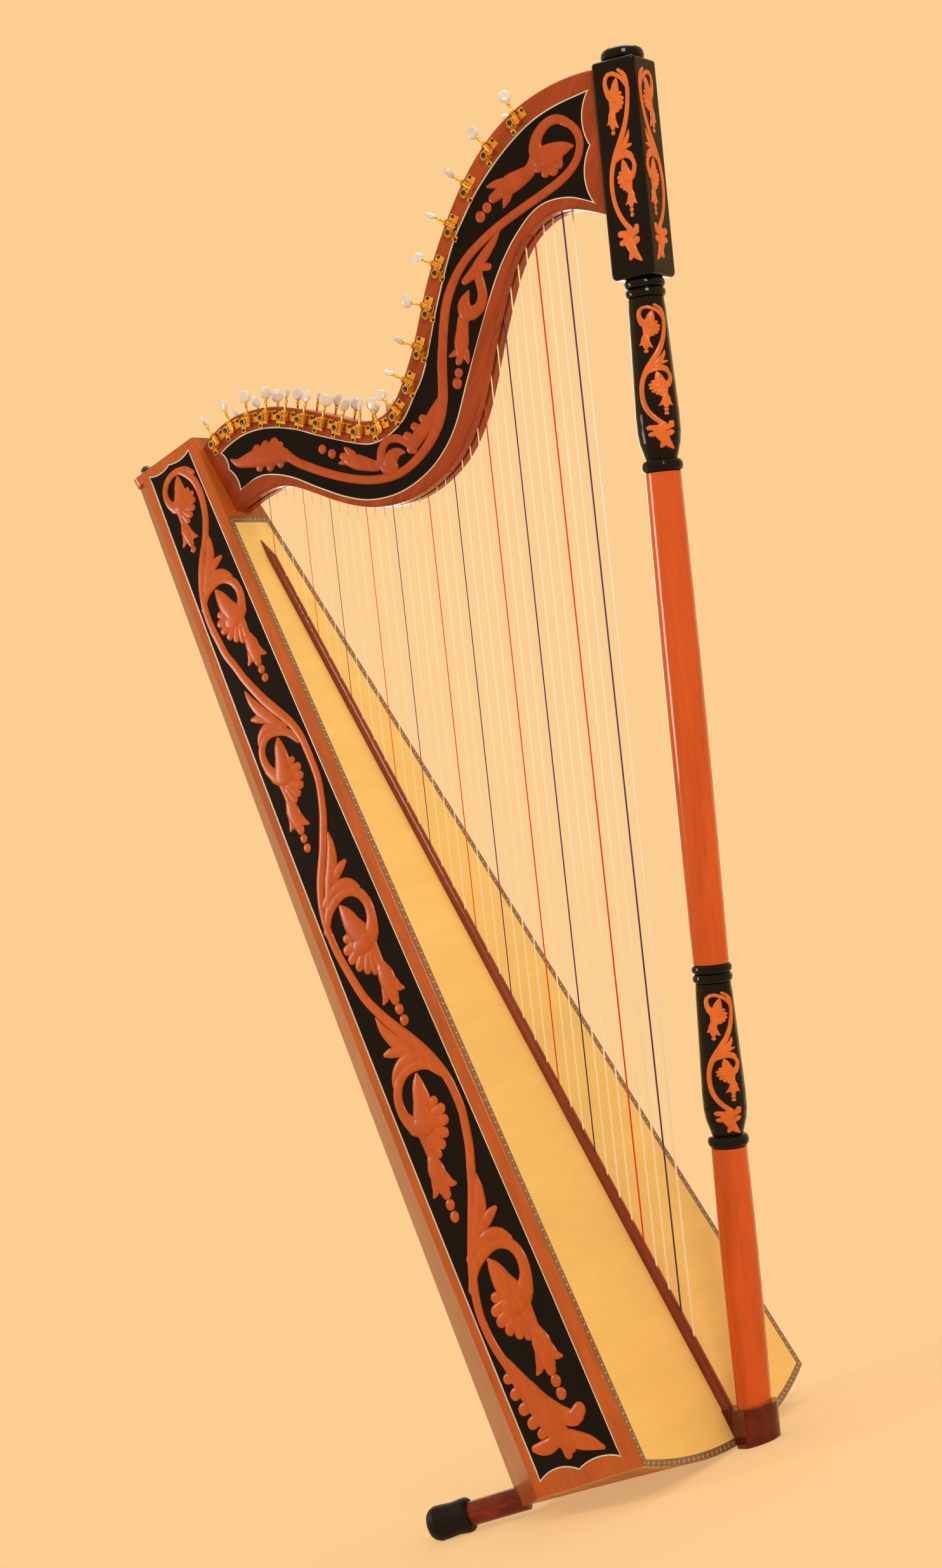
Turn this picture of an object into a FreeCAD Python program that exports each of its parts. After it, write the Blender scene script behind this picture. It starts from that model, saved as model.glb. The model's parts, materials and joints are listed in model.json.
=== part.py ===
import FreeCAD, Part
import math
import os

# Paraguayan harp, 37 strings, millimetres.
# Board frame: the origin is where the soundboard's face meets its base chord, X points
# from the soundboard towards the strings, Y across (minus is the player's left), Z up the board.
# The finished harp is turned by LEAN, so that it stands on its foot block and two rear feet.

# Stance
LEAN = 11.0
FOOT_FLAT = 46.0

# Soundbox
BOX_LENGTH = 1360.0
BASE_HALF = 198.0
TOP_HALF = 28.5
SIDE_DEPTH_BASE = 150.0
SIDE_DEPTH_TOP = 98.0
SIDE_BOW = 8.8
BACK_DEPTH_BASE = 235.0
BACK_DEPTH_TOP = 116.0
BACK_BOW = 4.9
BACK_HALF_BASE = 125.0
BACK_HALF_TOP = 17.0
WALL = 5.0
BOARD_THICK = 4.0
BOARD_INSET = 3.0
FRONT_ROUND = 2.8
BOARD_LENGTH = 1240.0
BASE_SAG = 38.0
BASE_RISE_EDGE = 0.127
BASE_RISE_MIDDLE = 0.19
BASE_THICK = 10.0
TOP_RISE = 0.1
TOP_CAP = 12.0
TOP_CAP_CORNER = 11.0
TOP_BLOCK_DEPTH = 40.0
KNOB_RADIUS = 8.1
KNOB_NECK = 5.0
KNOB_STAND = 10.0
KNOB_INSET = 9.0
SOUND_HOLES = ((330.0, 75.0, 52.0), (660.0, 62.0, 40.0), (940.0, 50.0, 28.0))
BRACE_HEIGHTS = (110.0, 330.0, 550.0, 770.0, 990.0, 1170.0)
BRACE_WIDE = 9.0
BRACE_DEEP = 16.0
SPINE_HALF = 17.0
SPINE_THICK = 3.0

# Panel inlays
INLAY_DEEP = 1.0
INLAY_RIM_BACK = 11.0
INLAY_FRONT = ((-12.0, 1351), (-15, 1120), (-16.6, 900), (-16.8, 700), (-18, 240), (-20.5, 18))
INLAY_BACK_TOP = 1360.0
INLAY_BACK_BASE = 33.0
INLAY_TOP_END = ((-28, 1348), (-50, 1354), (-66, 1352))
INLAY_BASE_END = ((-120, 38), (-81, 26), (-65, 29))
NECK_FIELD_OUTER = ((18.5, 1323), (40, 1324), (68, 1320), (100, 1306), (133, 1281), (161, 1251.5),
                    (204, 1210), (226, 1196.5), (250, 1193), (274, 1196.5), (299, 1209),
                    (330.5, 1227), (384.5, 1276), (440, 1320.5), (479, 1342), (512, 1356),
                    (558, 1368), (603, 1372.5), (642, 1367.5), (689, 1353))
NECK_FIELD_LOWER = ((626, 1241), (603, 1267), (578, 1281.5), (555.8, 1285), (531, 1280),
                    (502, 1269), (461, 1245), (379.5, 1183), (330, 1144), (291, 1126.5),
                    (255, 1121.5), (217, 1126), (180, 1142), (150, 1167), (120, 1202),
                    (98, 1230), (75, 1251), (52, 1263), (18.5, 1265.5))
NECK_FIELD_BASS = ((669, 1338), (656.5, 1300), (637.5, 1284.5))
NECK_FIELD_TREBLE = ((22.5, 1282), (18, 1298), (22, 1310))

# String rib and strings
STRING_COUNT = 37
STRING_ANGLE = 26.4
TREBLE_HOLE = 1171.0
BASS_HOLE = 88.0
RIB_LOW = 4.0
RIB_SHOULDER = 1176.0
RIB_TIP = 1204.0
RIB_HALF_BASS = 8.0
RIB_HALF_TREBLE = 5.0
RIB_HIGH = 10.0
TREBLE_GAUGE = 0.7
BASS_GAUGE = 2.2
GAUGE_POWER = 1.6
STRING_CLEAR = 0.3
KNOT_RADIUS = 2.0
KNOT_ROOM = 7.0
BLUE_FIRST = 1
RED_FIRST = 5
OCTAVE = 7

# Neck
NECK_THICK = 34.0
SLOT_WIDE = 5.6
CORE_DEEP = 6.0
CORE_END = 5.0
EDGE_ROUND = 3.5
NECK_OUTER = ((0, 1345), (31, 1351), (59, 1349), (87, 1340), (115, 1326), (143, 1305), (169, 1281),
              (194, 1256), (221, 1230), (246, 1218), (270, 1220), (294, 1232), (326, 1254),
              (383, 1303), (442, 1345), (504, 1378), (566, 1396), (633, 1394), (712, 1364))
NECK_LOWER = ((634, 1218), (612, 1243), (585, 1264), (552, 1271), (517, 1264), (476, 1239),
              (425, 1196), (369, 1146), (318, 1116), (267, 1107), (216, 1115), (173, 1137),
              (136, 1171), (104, 1209), (78, 1233), (50, 1243), (0, 1248))
BAR_LONG = 20.0
BAR_WIDE = 4.0
BAR_DEEP = 5.0
BAR_SET = 1.0
BAR_CLEAR = 0.1
BEND_CLEAR = 0.3
WRAP_CLEAR = 0.05

# Tuning machines
FIRST_MACHINE = 18.0
TREBLE_PITCH = 14.5
BASS_PITCH = 24.7
PITCH_CHANGE = 18.5
PITCH_BLEND = 7.3
MACHINE_INSET = 12.2
SHAFT_HEIGHT = 5.5
PLATE_THICK = 1.2
GEAR_AWAY = 9.3
GEAR_DROP = 1.0
GEAR_LIFT = 0.1
GEAR_RADIUS = 5.9
GEAR_THICK = 3.4
BOSS_RADIUS = 4.6
BOSS_HIGH = 2.2
POST_RADIUS = 3.0
POST_BURY = 4.0
WORM_RADIUS = 2.9
WORM_HALF = 5.6
KEY_RADIUS = 1.5
KEY_CLEAR = 0.08
LUG_THICK = 2.4
LUG_WIDE = 7.0
LUG_GAP = 0.3
SCREW_RADIUS = 2.0
SCREW_HEAD = 1.1
SCREW_PLACES = ((9.2, 4.0), (-13.3, -10.6))
BUTTON_CENTRE = 29.0
BUTTON_RADIUS = 8.1
BUTTON_THICK = 5.6
BUTTON_ROUND = 2.4
BUTTON_TURN = 67.0

# Pillar
PILLAR_ANGLE = 27.0
PILLAR_X = 37.0
PILLAR_Z = -8.5
CAPITAL_BASE = 1290.0
CAPITAL_TOP = 1533.0
CAPITAL_WIDE = 55.0
CAPITAL_EDGE = 6.0
CAPITAL_FOOT_ROUND = 5.5
CAPITAL_TOP_ROUND = 4.0
FINIAL_HIGH = 15.0
FINIAL_RADIUS = 24.6
UPPER_VASE = (1072.0, 1290.0)
LOWER_VASE = (302.0, 513.0)
SHAFT_RADIUS = 20.4
SHAFT_SWELL = 1.7
SHAFT_BURY = 16.0

# Foot block, legs and rubber feet
FOOT_DEPTH = 60.0
FOOT_NOSE = 27.0
FOOT_WAIST = (24.0, 12.0)
FOOT_ROOT = (62.0, 7.0)
FOOT_TOP = 4.0
FOOT_TOP_SLOPE = 0.28
LEG_TIP_Y = 150.0
LEG_TIP_X = -322.0
LEG_SPLAY = 20.0
LEG_ROOT_X = -226.0
LEG_ROOT_RADIUS = 14.8
LEG_TIP_RADIUS = 13.8
CAP_LONG = 54.0
CAP_RADIUS = 20.5
CAP_WAIST = 1.5
CAP_FLAT = 1.0

V = FreeCAD.Vector
ACROSS = V(0, 1, 0)
STRING_DIR = V(math.sin(math.radians(STRING_ANGLE)), 0, math.cos(math.radians(STRING_ANGLE)))
PILLAR_DIR = V(math.sin(math.radians(PILLAR_ANGLE)), 0, math.cos(math.radians(PILLAR_ANGLE)))
FLOOR_SLOPE = math.tan(math.radians(LEAN))
FLOOR_AT_FACE = -BASE_SAG - 3.0 - 4.5 * FLOOR_SLOPE


def between(low, high, share):
    return low + (high - low) * share


def half_width(z):
    return between(BASE_HALF, TOP_HALF, z / BOX_LENGTH)


def bowed(base, top, bow, z):
    """A depth that changes evenly up the box, with a gentle bow that is fullest half way."""
    share = z / BOX_LENGTH
    return between(base, top, share) + 4 * bow * share * (1 - share)


def side_depth(z):
    return bowed(SIDE_DEPTH_BASE, SIDE_DEPTH_TOP, SIDE_BOW, z)


def back_depth(z):
    return bowed(BACK_DEPTH_BASE, BACK_DEPTH_TOP, BACK_BOW, z)


def back_half(z):
    return between(BACK_HALF_BASE, BACK_HALF_TOP, z / BOX_LENGTH)


def floor_height(x):
    """Height, up the board, of the floor under a point of the harp."""
    return FLOOR_AT_FACE - FLOOR_SLOPE * x


def standing():
    """The placement that stands the harp on the floor, with its origin under the foot block."""
    turn = FreeCAD.Rotation(ACROSS, -LEAN)
    middle = FOOT_FLAT / 2 * math.cos(math.radians(LEAN))
    at = turn.multVec(V(middle, 0, floor_height(middle)))
    return FreeCAD.Placement(at.multiply(-1.0), turn)


def box(x0, x1, y0, y1, z0, z1):
    return Part.makeBox(x1 - x0, y1 - y0, z1 - z0, V(x0, y0, z0))


def cylinder(start, end, radius):
    axis = end.sub(start)
    return Part.makeCylinder(radius, axis.Length, start, axis)


def prism(points, depth):
    """A closed polygon pushed along a vector."""
    wire = Part.makePolygon(list(points) + [points[0]])
    return Part.Face(wire).extrude(depth)


def ruled(lower, upper):
    """A solid between two polygons of as many corners."""
    wires = [Part.makePolygon(list(p) + [p[0]]) for p in (lower, upper)]
    return Part.makeLoft(wires, True, True)


def smooth(rings):
    """A solid through several polygons of as many corners, with smooth long sides."""
    return Part.makeLoft([Part.makePolygon(list(p) + [p[0]]) for p in rings], True, False)


def curve(points):
    spline = Part.BSplineCurve()
    spline.interpolate([V(x, 0, z) for x, z in points])
    return spline.toShape()


def mirror(shape):
    return shape.mirror(V(0, 0, 0), ACROSS)


def turned(profile, start, direction):
    """A solid of revolution: profile is (distance along the axis, radius) from one end."""
    points = [V(r, 0, d) for d, r in profile]
    points = [V(0, 0, profile[0][0])] + points + [V(0, 0, profile[-1][0])]
    wire = Part.makePolygon(points + [points[0]])
    solid = Part.Face(wire).revolve(V(0, 0, 0), V(0, 0, 1), 360)
    solid.Placement = FreeCAD.Placement(start, FreeCAD.Rotation(V(0, 0, 1), direction))
    return solid


# Soundbox
def section(z, inset, front=0.0):
    """The half outline of the box at a height, drawn in by a wall: front, side and back corners."""
    corners = [V(-front, half_width(z), z), V(-side_depth(z), half_width(z), z),
               V(-back_depth(z), back_half(z), z), V(-back_depth(z), 0, z)]
    if inset == 0:
        return corners
    lines = []
    for a, b in zip(corners, corners[1:]):
        along = b.sub(a).normalize()
        inward = V(-along.y, along.x, 0)
        lines.append((a.add(inward.multiply(inset)), along))
    drawn = [V(-front, half_width(z) - inset, z)]
    for (a, u), (b, w) in zip(lines, lines[1:]):
        cross = u.x * w.y - u.y * w.x
        gap = b.sub(a)
        reach = (gap.x * w.y - gap.y * w.x) / cross
        drawn.append(a.add(V(u).multiply(reach)))
    drawn.append(V(-back_depth(z) + inset, 0, z))
    return drawn


LOW = -70.0
HIGH = 1400.0
STATIONS = (LOW, 250.0, 600.0, 980.0, HIGH)


def wall(index, inset=WALL):
    """One board of the box: the strip between two corners of the section, from end to end."""
    faces = []
    for z in STATIONS:
        outer = section(z, 0)
        inner = section(z, inset)
        faces.append([outer[index], outer[index + 1], inner[index + 1], inner[index]])
    return smooth(faces)


def under_base(lift):
    """All that lies under the arched base, raised by a distance."""
    wires = []
    for x, edge, middle in ((20.0, -BASE_RISE_EDGE * 20, -BASE_SAG - BASE_RISE_MIDDLE * 20),
                            (-260.0, BASE_RISE_EDGE * 260, -BASE_SAG + BASE_RISE_MIDDLE * 260)):
        reach = BASE_HALF + 30
        sag = edge - middle
        spread = (BASE_HALF ** 2 + sag ** 2) / (2 * sag)
        outer = middle + spread - math.sqrt(spread ** 2 - reach ** 2) + lift
        left = V(x, -reach, outer)
        right = V(x, reach, outer)
        arch = Part.Arc(left, V(x, 0, middle + lift), right).toShape()
        rest = Part.makePolygon([right, V(x, reach, -200), V(x, -reach, -200), left])
        wires.append(Part.Wire([arch] + rest.Edges))
    return Part.makeLoft(wires, True, True)


def inside():
    """The room inside the walls."""
    rings = []
    for z in STATIONS:
        half = section(z, WALL, BOARD_THICK)
        rings.append(half + [V(p.x, -p.y, p.z) for p in reversed(half[:-1])])
    return smooth(rings)


def over_top(drop):
    """All that lies above the box's slanted top end, lowered by a distance."""
    edge = [(x, BOX_LENGTH - TOP_RISE * x - drop) for x in (60.0, -260.0)]
    corners = [V(x, -300, z) for x, z in edge + [(-260.0, 1600.0), (60.0, 1600.0)]]
    return prism(corners, V(0, 600, 0))


def oval(z, half_high, half_wide):
    ring = Part.Ellipse(V(0, 0, z), half_high, half_wide).toShape()
    ring.rotate(V(0, 0, z), ACROSS, -90)
    return Part.Face(Part.Wire(ring)).extrude(V(-400, 0, 0))


def board_blank():
    """The soundboard as a plain tapered plate, let into the front edges of the side panels."""
    rings = []
    for z in (LOW, BOARD_LENGTH):
        half = half_width(z) - BOARD_INSET
        rings.append([V(x, y * half, z) for x, y in ((0, 1), (0, -1), (-BOARD_THICK, -1),
                                                     (-BOARD_THICK, 1))])
    return ruled(rings[0], rings[1])


def make_soundboard():
    return board_blank().cut(UNDER).cut(STRING_HOLES)


def scallops(points):
    """Arcs through points: two between three corners, each with one point on the way."""
    at = [V(x, 0, z) for x, z in points]
    return [Part.Arc(at[i], at[i + 1], at[i + 2]).toShape() for i in range(0, len(at) - 2, 2)]


def side_inlay():
    """The sunk field of a side panel, as a flat outline in the plane Y = 0."""
    steps = 8
    back = []
    for i in range(steps + 1):
        z = between(INLAY_BACK_TOP, INLAY_BACK_BASE, i / steps)
        back.append((INLAY_RIM_BACK - side_depth(z), z))
    edges = scallops([INLAY_FRONT[0], *INLAY_TOP_END, back[0]])
    edges.append(curve(back))
    edges += scallops([back[-1], *INLAY_BASE_END, INLAY_FRONT[-1]])
    edges.append(curve(INLAY_FRONT[::-1]))
    return Part.Face(Part.Wire(edges))


def make_side_panel():
    blank = wall(0)
    corner = [e for e in blank.Edges if e.BoundBox.XMin > -0.01 and e.Length > 1000
              and e.BoundBox.YMax > half_width(LOW) - 0.01]
    panel = blank.makeFillet(FRONT_ROUND, corner)
    panel = panel.cut(UNDER).cut(over_top(0)).cut(board_blank())
    sunk = side_inlay().extrude(V(0, 300, 0))
    skin = ruled([V(9, half_width(LOW) - INLAY_DEEP, LOW), V(9, half_width(LOW) + 9, LOW),
                  V(-290, half_width(LOW) + 9, LOW), V(-290, half_width(LOW) - INLAY_DEEP, LOW)],
                 [V(9, half_width(HIGH) - INLAY_DEEP, HIGH), V(9, half_width(HIGH) + 9, HIGH),
                  V(-290, half_width(HIGH) + 9, HIGH), V(-290, half_width(HIGH) - INLAY_DEEP, HIGH)])
    return panel.cut(sunk.common(skin)).cut(LEGS)


def make_back_staves():
    above = over_top(TOP_CAP)
    chamfer = wall(1).cut(UNDER).cut(above).cut(LEGS)
    half = wall(2)
    middle = half.fuse(mirror(half)).removeSplitter().cut(UNDER).cut(above).cut(LEGS)
    for z, high, wide in SOUND_HOLES:
        middle = middle.cut(oval(z, high, wide))
    return [chamfer, middle, mirror(chamfer)]


def make_top_block():
    """The block that carries the neck's root, inside the top of the box."""
    front = box(-TOP_BLOCK_DEPTH, 0, -80, 80, BOARD_LENGTH, HIGH)
    lip = ruled([V(x, y * (half_width(BOARD_LENGTH) - WALL), BOARD_LENGTH)
                 for x, y in ((0, 1), (0, -1), (-BOARD_THICK, -1), (-BOARD_THICK, 1))],
                [V(x, y * (half_width(HIGH) - WALL), HIGH)
                 for x, y in ((0, 1), (0, -1), (-BOARD_THICK, -1), (-BOARD_THICK, 1))])
    room = ROOM.fuse(lip)
    return front.common(room).removeSplitter().cut(over_top(TOP_CAP))


def make_top_cap():
    """The plate that closes the top, standing out over the back staves with rounded corners."""
    side = wall(0)
    back = back_depth(BOX_LENGTH)
    wide = half_width(BOX_LENGTH)
    plate = box(-back, 0, -wide, wide, BOX_LENGTH - 40, BOX_LENGTH + 40)
    corners = [e for e in plate.Edges if e.Length > 79 and e.BoundBox.XMax < 1 - back]
    plate = plate.makeFillet(TOP_CAP_CORNER, corners)
    plate = plate.cut(over_top(0)).common(over_top(TOP_CAP))
    return plate.cut(side).cut(mirror(side))


def make_knob():
    """The round knob on a short neck, on the middle line of the top near its back edge."""
    foot_x = KNOB_INSET - back_depth(BOX_LENGTH)
    foot = V(foot_x, 0, BOX_LENGTH - TOP_RISE * foot_x)
    up = V(TOP_RISE, 0, 1).normalize()
    middle = foot.add(V(up).multiply(KNOB_STAND))
    ball = Part.makeSphere(KNOB_RADIUS, middle)
    neck = cylinder(foot, middle, KNOB_NECK)
    return ball.fuse(neck).removeSplitter().common(over_top(0))


def make_base_board():
    return ROOM.common(under_base(BASE_THICK)).cut(UNDER).cut(LEGS)


def make_braces():
    """Cross bars and the long strip that backs the string holes, glued under the soundboard."""
    bars = []
    spine_top = BOARD_LENGTH - 12
    spine = box(-BOARD_THICK - SPINE_THICK, -BOARD_THICK, -SPINE_HALF, SPINE_HALF, 60, spine_top)
    channel = box(-BOARD_THICK - SPINE_THICK - KNOT_ROOM, 0, -KNOT_ROOM, KNOT_ROOM, 50, BOARD_LENGTH)
    for z in BRACE_HEIGHTS:
        reach = half_width(z + BRACE_WIDE) - WALL - 2
        outline = [V(-BOARD_THICK, -reach, z), V(-BOARD_THICK, reach, z),
                   V(-BOARD_THICK - 5, reach, z), V(-BOARD_THICK - BRACE_DEEP, reach * 0.6, z),
                   V(-BOARD_THICK - BRACE_DEEP, -reach * 0.6, z), V(-BOARD_THICK - 5, -reach, z)]
        bars.append(prism(outline, V(0, 0, BRACE_WIDE)).cut(spine).cut(channel))
    return bars + [spine.cut(STRING_HOLES)]


# String rib and strings
def rib_ring(z, half, high):
    arch = Part.Arc(V(0, -half, z), V(high, 0, z), V(0, half, z)).toShape()
    return Part.Wire([arch, Part.makeLine(V(0, half, z), V(0, -half, z))])


def make_rib():
    body = Part.makeLoft([rib_ring(RIB_LOW - 25, RIB_HALF_BASS, RIB_HIGH),
                          rib_ring(RIB_SHOULDER, RIB_HALF_TREBLE, RIB_HIGH - 1)], True, True)
    tip = Part.makeLoft([rib_ring(RIB_SHOULDER, RIB_HALF_TREBLE, RIB_HIGH - 1),
                         rib_ring(RIB_TIP, 0.8, 1.0)], True, True)
    return body.fuse(tip).removeSplitter().cut(FOOT).cut(STRING_HOLES)


def string_holes():
    """The slanted holes through the rib, the soundboard and the strip behind it."""
    holes = []
    for k in range(1, STRING_COUNT + 1):
        reach = V(STRING_DIR).multiply(45)
        middle = string_foot(k)
        holes.append(cylinder(middle.sub(reach), middle.add(reach), gauge(k) / 2 + STRING_CLEAR))
    return Part.makeCompound(holes)


def gauge(k):
    share = (k - 1) / (STRING_COUNT - 1)
    return between(TREBLE_GAUGE, BASS_GAUGE, share ** GAUGE_POWER)


def string_foot(k):
    z = between(TREBLE_HOLE, BASS_HOLE, (k - 1) / (STRING_COUNT - 1))
    return V(RIB_HIGH - 4, 0, z - 2)


def nut_point(k):
    foot = string_foot(k)
    reach = Part.makeLine(foot, foot.add(V(STRING_DIR).multiply(1600)))
    return reach.distToShape(LOWER_EDGE)[1][0][0].add(V(STRING_DIR).multiply(BAR_SET))


def bend_side(k):
    """Which way string k turns above its bone bar: 1 to the treble side, -1 to the bass side."""
    toward = machine(k)["post"].sub(nut_point(k))
    return 1 if toward.dot(V(-STRING_DIR.z, 0, STRING_DIR.x)) > 0 else -1


def nut_bar(k):
    """A bone bar across the slot, on the side towards which the string bends over it."""
    aside = V(-STRING_DIR.z, 0, STRING_DIR.x).multiply(bend_side(k))
    middle = nut_point(k).add(aside.multiply(BAR_WIDE / 2 + gauge(k) / 2 + BAR_CLEAR))
    bar = Part.makeBox(BAR_WIDE, BAR_LONG, BAR_DEEP, V(-BAR_WIDE / 2, -BAR_LONG / 2, 0))
    bar.Placement = FreeCAD.Placement(middle, FreeCAD.Rotation(ACROSS, STRING_ANGLE))
    return bar


def make_string(k):
    """Knot, speaking length, and the short run over the bone bar to the post."""
    radius = gauge(k) / 2
    behind = (string_foot(k).x + BOARD_THICK + SPINE_THICK + KNOT_RADIUS + radius) / STRING_DIR.x
    foot = string_foot(k).sub(V(STRING_DIR).multiply(behind))
    knot = Part.makeSphere(KNOT_RADIUS + radius, foot)
    spine_face = -BOARD_THICK - SPINE_THICK
    knot = knot.common(box(spine_face - 20, spine_face, -20, 20, foot.z - 20, foot.z + 20))
    bend = nut_point(k).add(V(STRING_DIR).multiply(BAR_DEEP + radius + BEND_CLEAR))
    away = machine(k)["post"].sub(bend)
    wrap = POST_RADIUS + radius + WRAP_CLEAR
    run = math.sqrt(away.Length ** 2 - wrap ** 2)
    turn = -bend_side(k) * math.degrees(math.atan2(wrap, run))
    heading = FreeCAD.Rotation(ACROSS, turn).multVec(away.normalize())
    lower = cylinder(foot, bend, radius)
    upper = cylinder(bend, bend.add(V(heading).multiply(run)), radius)
    knee = Part.makeSphere(radius, bend)
    return lower.fuse([upper, knee, knot]).removeSplitter()


# Neck
def neck_outline():
    top = V(NECK_OUTER[0][0], 0, NECK_OUTER[0][1])
    low = V(NECK_LOWER[-1][0], 0, NECK_LOWER[-1][1])
    high = V(NECK_OUTER[-1][0], 0, NECK_OUTER[-1][1])
    heel = V(NECK_LOWER[0][0], 0, NECK_LOWER[0][1])
    return Part.Wire([OUTER_EDGE, Part.makeLine(high, heel), LOWER_EDGE, Part.makeLine(low, top)])


def offset_points(edge, away, count, start, stop):
    """Points beside a curve: away is the distance to its right when seen from the near side."""
    points = []
    for i in range(count):
        s = between(start, edge.Length - stop, i / (count - 1))
        t = edge.getParameterByLength(s)
        along = edge.tangentAt(t)
        points.append(edge.valueAt(t).add(V(along.z, 0, -along.x).multiply(away)))
    return points


def neck_inlay():
    """The sunk field of a neck face, as a flat outline."""
    edges = [curve(NECK_FIELD_OUTER)]
    edges += scallops([NECK_FIELD_OUTER[-1], *NECK_FIELD_BASS, NECK_FIELD_LOWER[0]])
    edges.append(curve(NECK_FIELD_LOWER))
    edges += scallops([NECK_FIELD_LOWER[-1], *NECK_FIELD_TREBLE, NECK_FIELD_OUTER[0]])
    return Part.Face(Part.Wire(edges))


def make_cheek():
    """The near half of the neck, with its rounded outer edges and sunk inlay field."""
    face = Part.Face(neck_outline())
    thick = (NECK_THICK - SLOT_WIDE) / 2
    cheek = face.extrude(V(0, thick, 0))
    cheek.translate(V(0, -NECK_THICK / 2, 0))
    rims = [e for e in cheek.Edges
            if abs(e.BoundBox.YMax + NECK_THICK / 2) < 0.01 and e.Length > 400]
    cheek = cheek.makeFillet(EDGE_ROUND, rims)
    sunk = neck_inlay().extrude(V(0, INLAY_DEEP, 0))
    sunk.translate(V(0, -NECK_THICK / 2, 0))
    return cheek.cut(sunk).cut(CAPITAL)


def make_core():
    """The strip that closes the slot along the top, and the blocks at its two ends."""
    face = Part.Face(neck_outline())
    full = face.extrude(V(0, SLOT_WIDE, 0))
    full.translate(V(0, -SLOT_WIDE / 2, 0))
    inner = offset_points(OUTER_EDGE, CORE_DEEP, 21, CORE_END, 70)
    room = [curve([(p.x, p.z) for p in inner])]
    tail = V(NECK_LOWER[0][0] - 22, 0, NECK_LOWER[0][1] - 60)
    start = V(CORE_END, 0, NECK_LOWER[-1][1] - 60)
    room.append(Part.makePolygon([inner[-1], tail, V(250, 0, 1000), start, inner[0]]))
    hollow = Part.Face(Part.Wire([room[0]] + room[1].Edges)).extrude(V(0, SLOT_WIDE + 2, 0))
    hollow.translate(V(0, -SLOT_WIDE / 2 - 1, 0))
    return full.cut(hollow).cut(CAPITAL)


def post_hole(at, own_side, cheek_side):
    """A post's hole: right through its own cheek, and a short way into the other one."""
    deep = NECK_THICK if own_side == cheek_side else SLOT_WIDE / 2 + POST_BURY + 0.2
    return cylinder(V(at.x, 0, at.z), V(at.x, cheek_side * deep, at.z), POST_RADIUS + 0.1)


# Tuning machines
def pitch(k):
    share = min(max((k - PITCH_CHANGE) / PITCH_BLEND, 0.0), 1.0)
    return between(TREBLE_PITCH, BASS_PITCH, share)


def side_of(k):
    """Odd strings tune from the near side, even strings from the far side."""
    return -1 if k % 2 else 1


def machine(k):
    """Where machine k sits: its worm's middle, outward direction, edge direction and post."""
    reach = FIRST_MACHINE + sum(pitch(j) for j in range(1, k))
    t = MACHINE_LINE.getParameterByLength(reach)
    along = MACHINE_LINE.tangentAt(t)
    out = V(-along.z, 0, along.x)
    side = side_of(k)
    centre = MACHINE_LINE.valueAt(t).add(V(0, side * NECK_THICK / 2, 0))
    beside = V(along).multiply(-GEAR_AWAY).sub(V(out).multiply(GEAR_DROP))
    return {"centre": centre, "out": out, "along": along, "side": side,
            "post": V(centre.x + beside.x, 0, centre.z + beside.z)}


def frame_of(m):
    """Local axes of a machine: X along the edge, Y off the neck's face, Z outwards."""
    x, y, z = m["along"], V(0, m["side"], 0), m["out"]
    c = m["centre"]
    return FreeCAD.Matrix(x.x, y.x, z.x, c.x, x.y, y.y, z.y, c.y, x.z, y.z, z.z, c.z, 0, 0, 0, 1)


def machine_plate():
    """The frame of one machine in local axes: a stepped plate with two lugs for the worm."""
    plate = box(-13.5, -3.0, 0, PLATE_THICK, -8.0, 6.0)
    plate = plate.fuse(box(-3.0, 11.8, 0, PLATE_THICK, -4.5, 7.5))
    plate = plate.fuse(box(-16.0, -9.5, 0, PLATE_THICK, -13.5, -6.0))
    lug_top = SHAFT_HEIGHT + WORM_RADIUS
    for z in (WORM_HALF + LUG_GAP, -WORM_HALF - LUG_GAP - LUG_THICK):
        plate = plate.fuse(box(-LUG_WIDE / 2, LUG_WIDE / 2, 0, lug_top, z, z + LUG_THICK))
    reach = 30
    bore = cylinder(V(0, SHAFT_HEIGHT, -reach), V(0, SHAFT_HEIGHT, reach), KEY_RADIUS + KEY_CLEAR)
    post = cylinder(V(-GEAR_AWAY, -1, -GEAR_DROP), V(-GEAR_AWAY, 9, -GEAR_DROP), POST_RADIUS + 0.05)
    return plate.cut(bore).cut(post).removeSplitter()


def machine_screws():
    """The two round-headed screws of one machine, in local axes."""
    screws = []
    for x, z in SCREW_PLACES:
        head = cylinder(V(x, PLATE_THICK, z), V(x, PLATE_THICK + SCREW_HEAD, z), SCREW_RADIUS)
        top = [e for e in head.Edges if e.BoundBox.YMin > PLATE_THICK + SCREW_HEAD - 0.01]
        screws.append(head.makeFillet(SCREW_HEAD * 0.7, top))
    return screws


def machine_post():
    """The string post with its gear and round boss, in local axes."""
    low = PLATE_THICK + GEAR_LIFT
    centre = V(-GEAR_AWAY, 0, -GEAR_DROP)
    gear = Part.makeCylinder(GEAR_RADIUS, GEAR_THICK, centre.add(V(0, low, 0)), ACROSS)
    boss = Part.makeCylinder(BOSS_RADIUS, GEAR_THICK + BOSS_HIGH, centre.add(V(0, low, 0)), ACROSS)
    dish = Part.makeCylinder(BOSS_RADIUS - 1.4, BOSS_HIGH, centre.add(V(0, low + GEAR_THICK + 0.8, 0)),
                             ACROSS)
    reach = (NECK_THICK + SLOT_WIDE) / 2 + POST_BURY
    post = Part.makeCylinder(POST_RADIUS, reach + low + 0.1, centre.sub(V(0, reach, 0)), ACROSS)
    return gear.fuse([boss.cut(dish), post]).removeSplitter()


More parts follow.
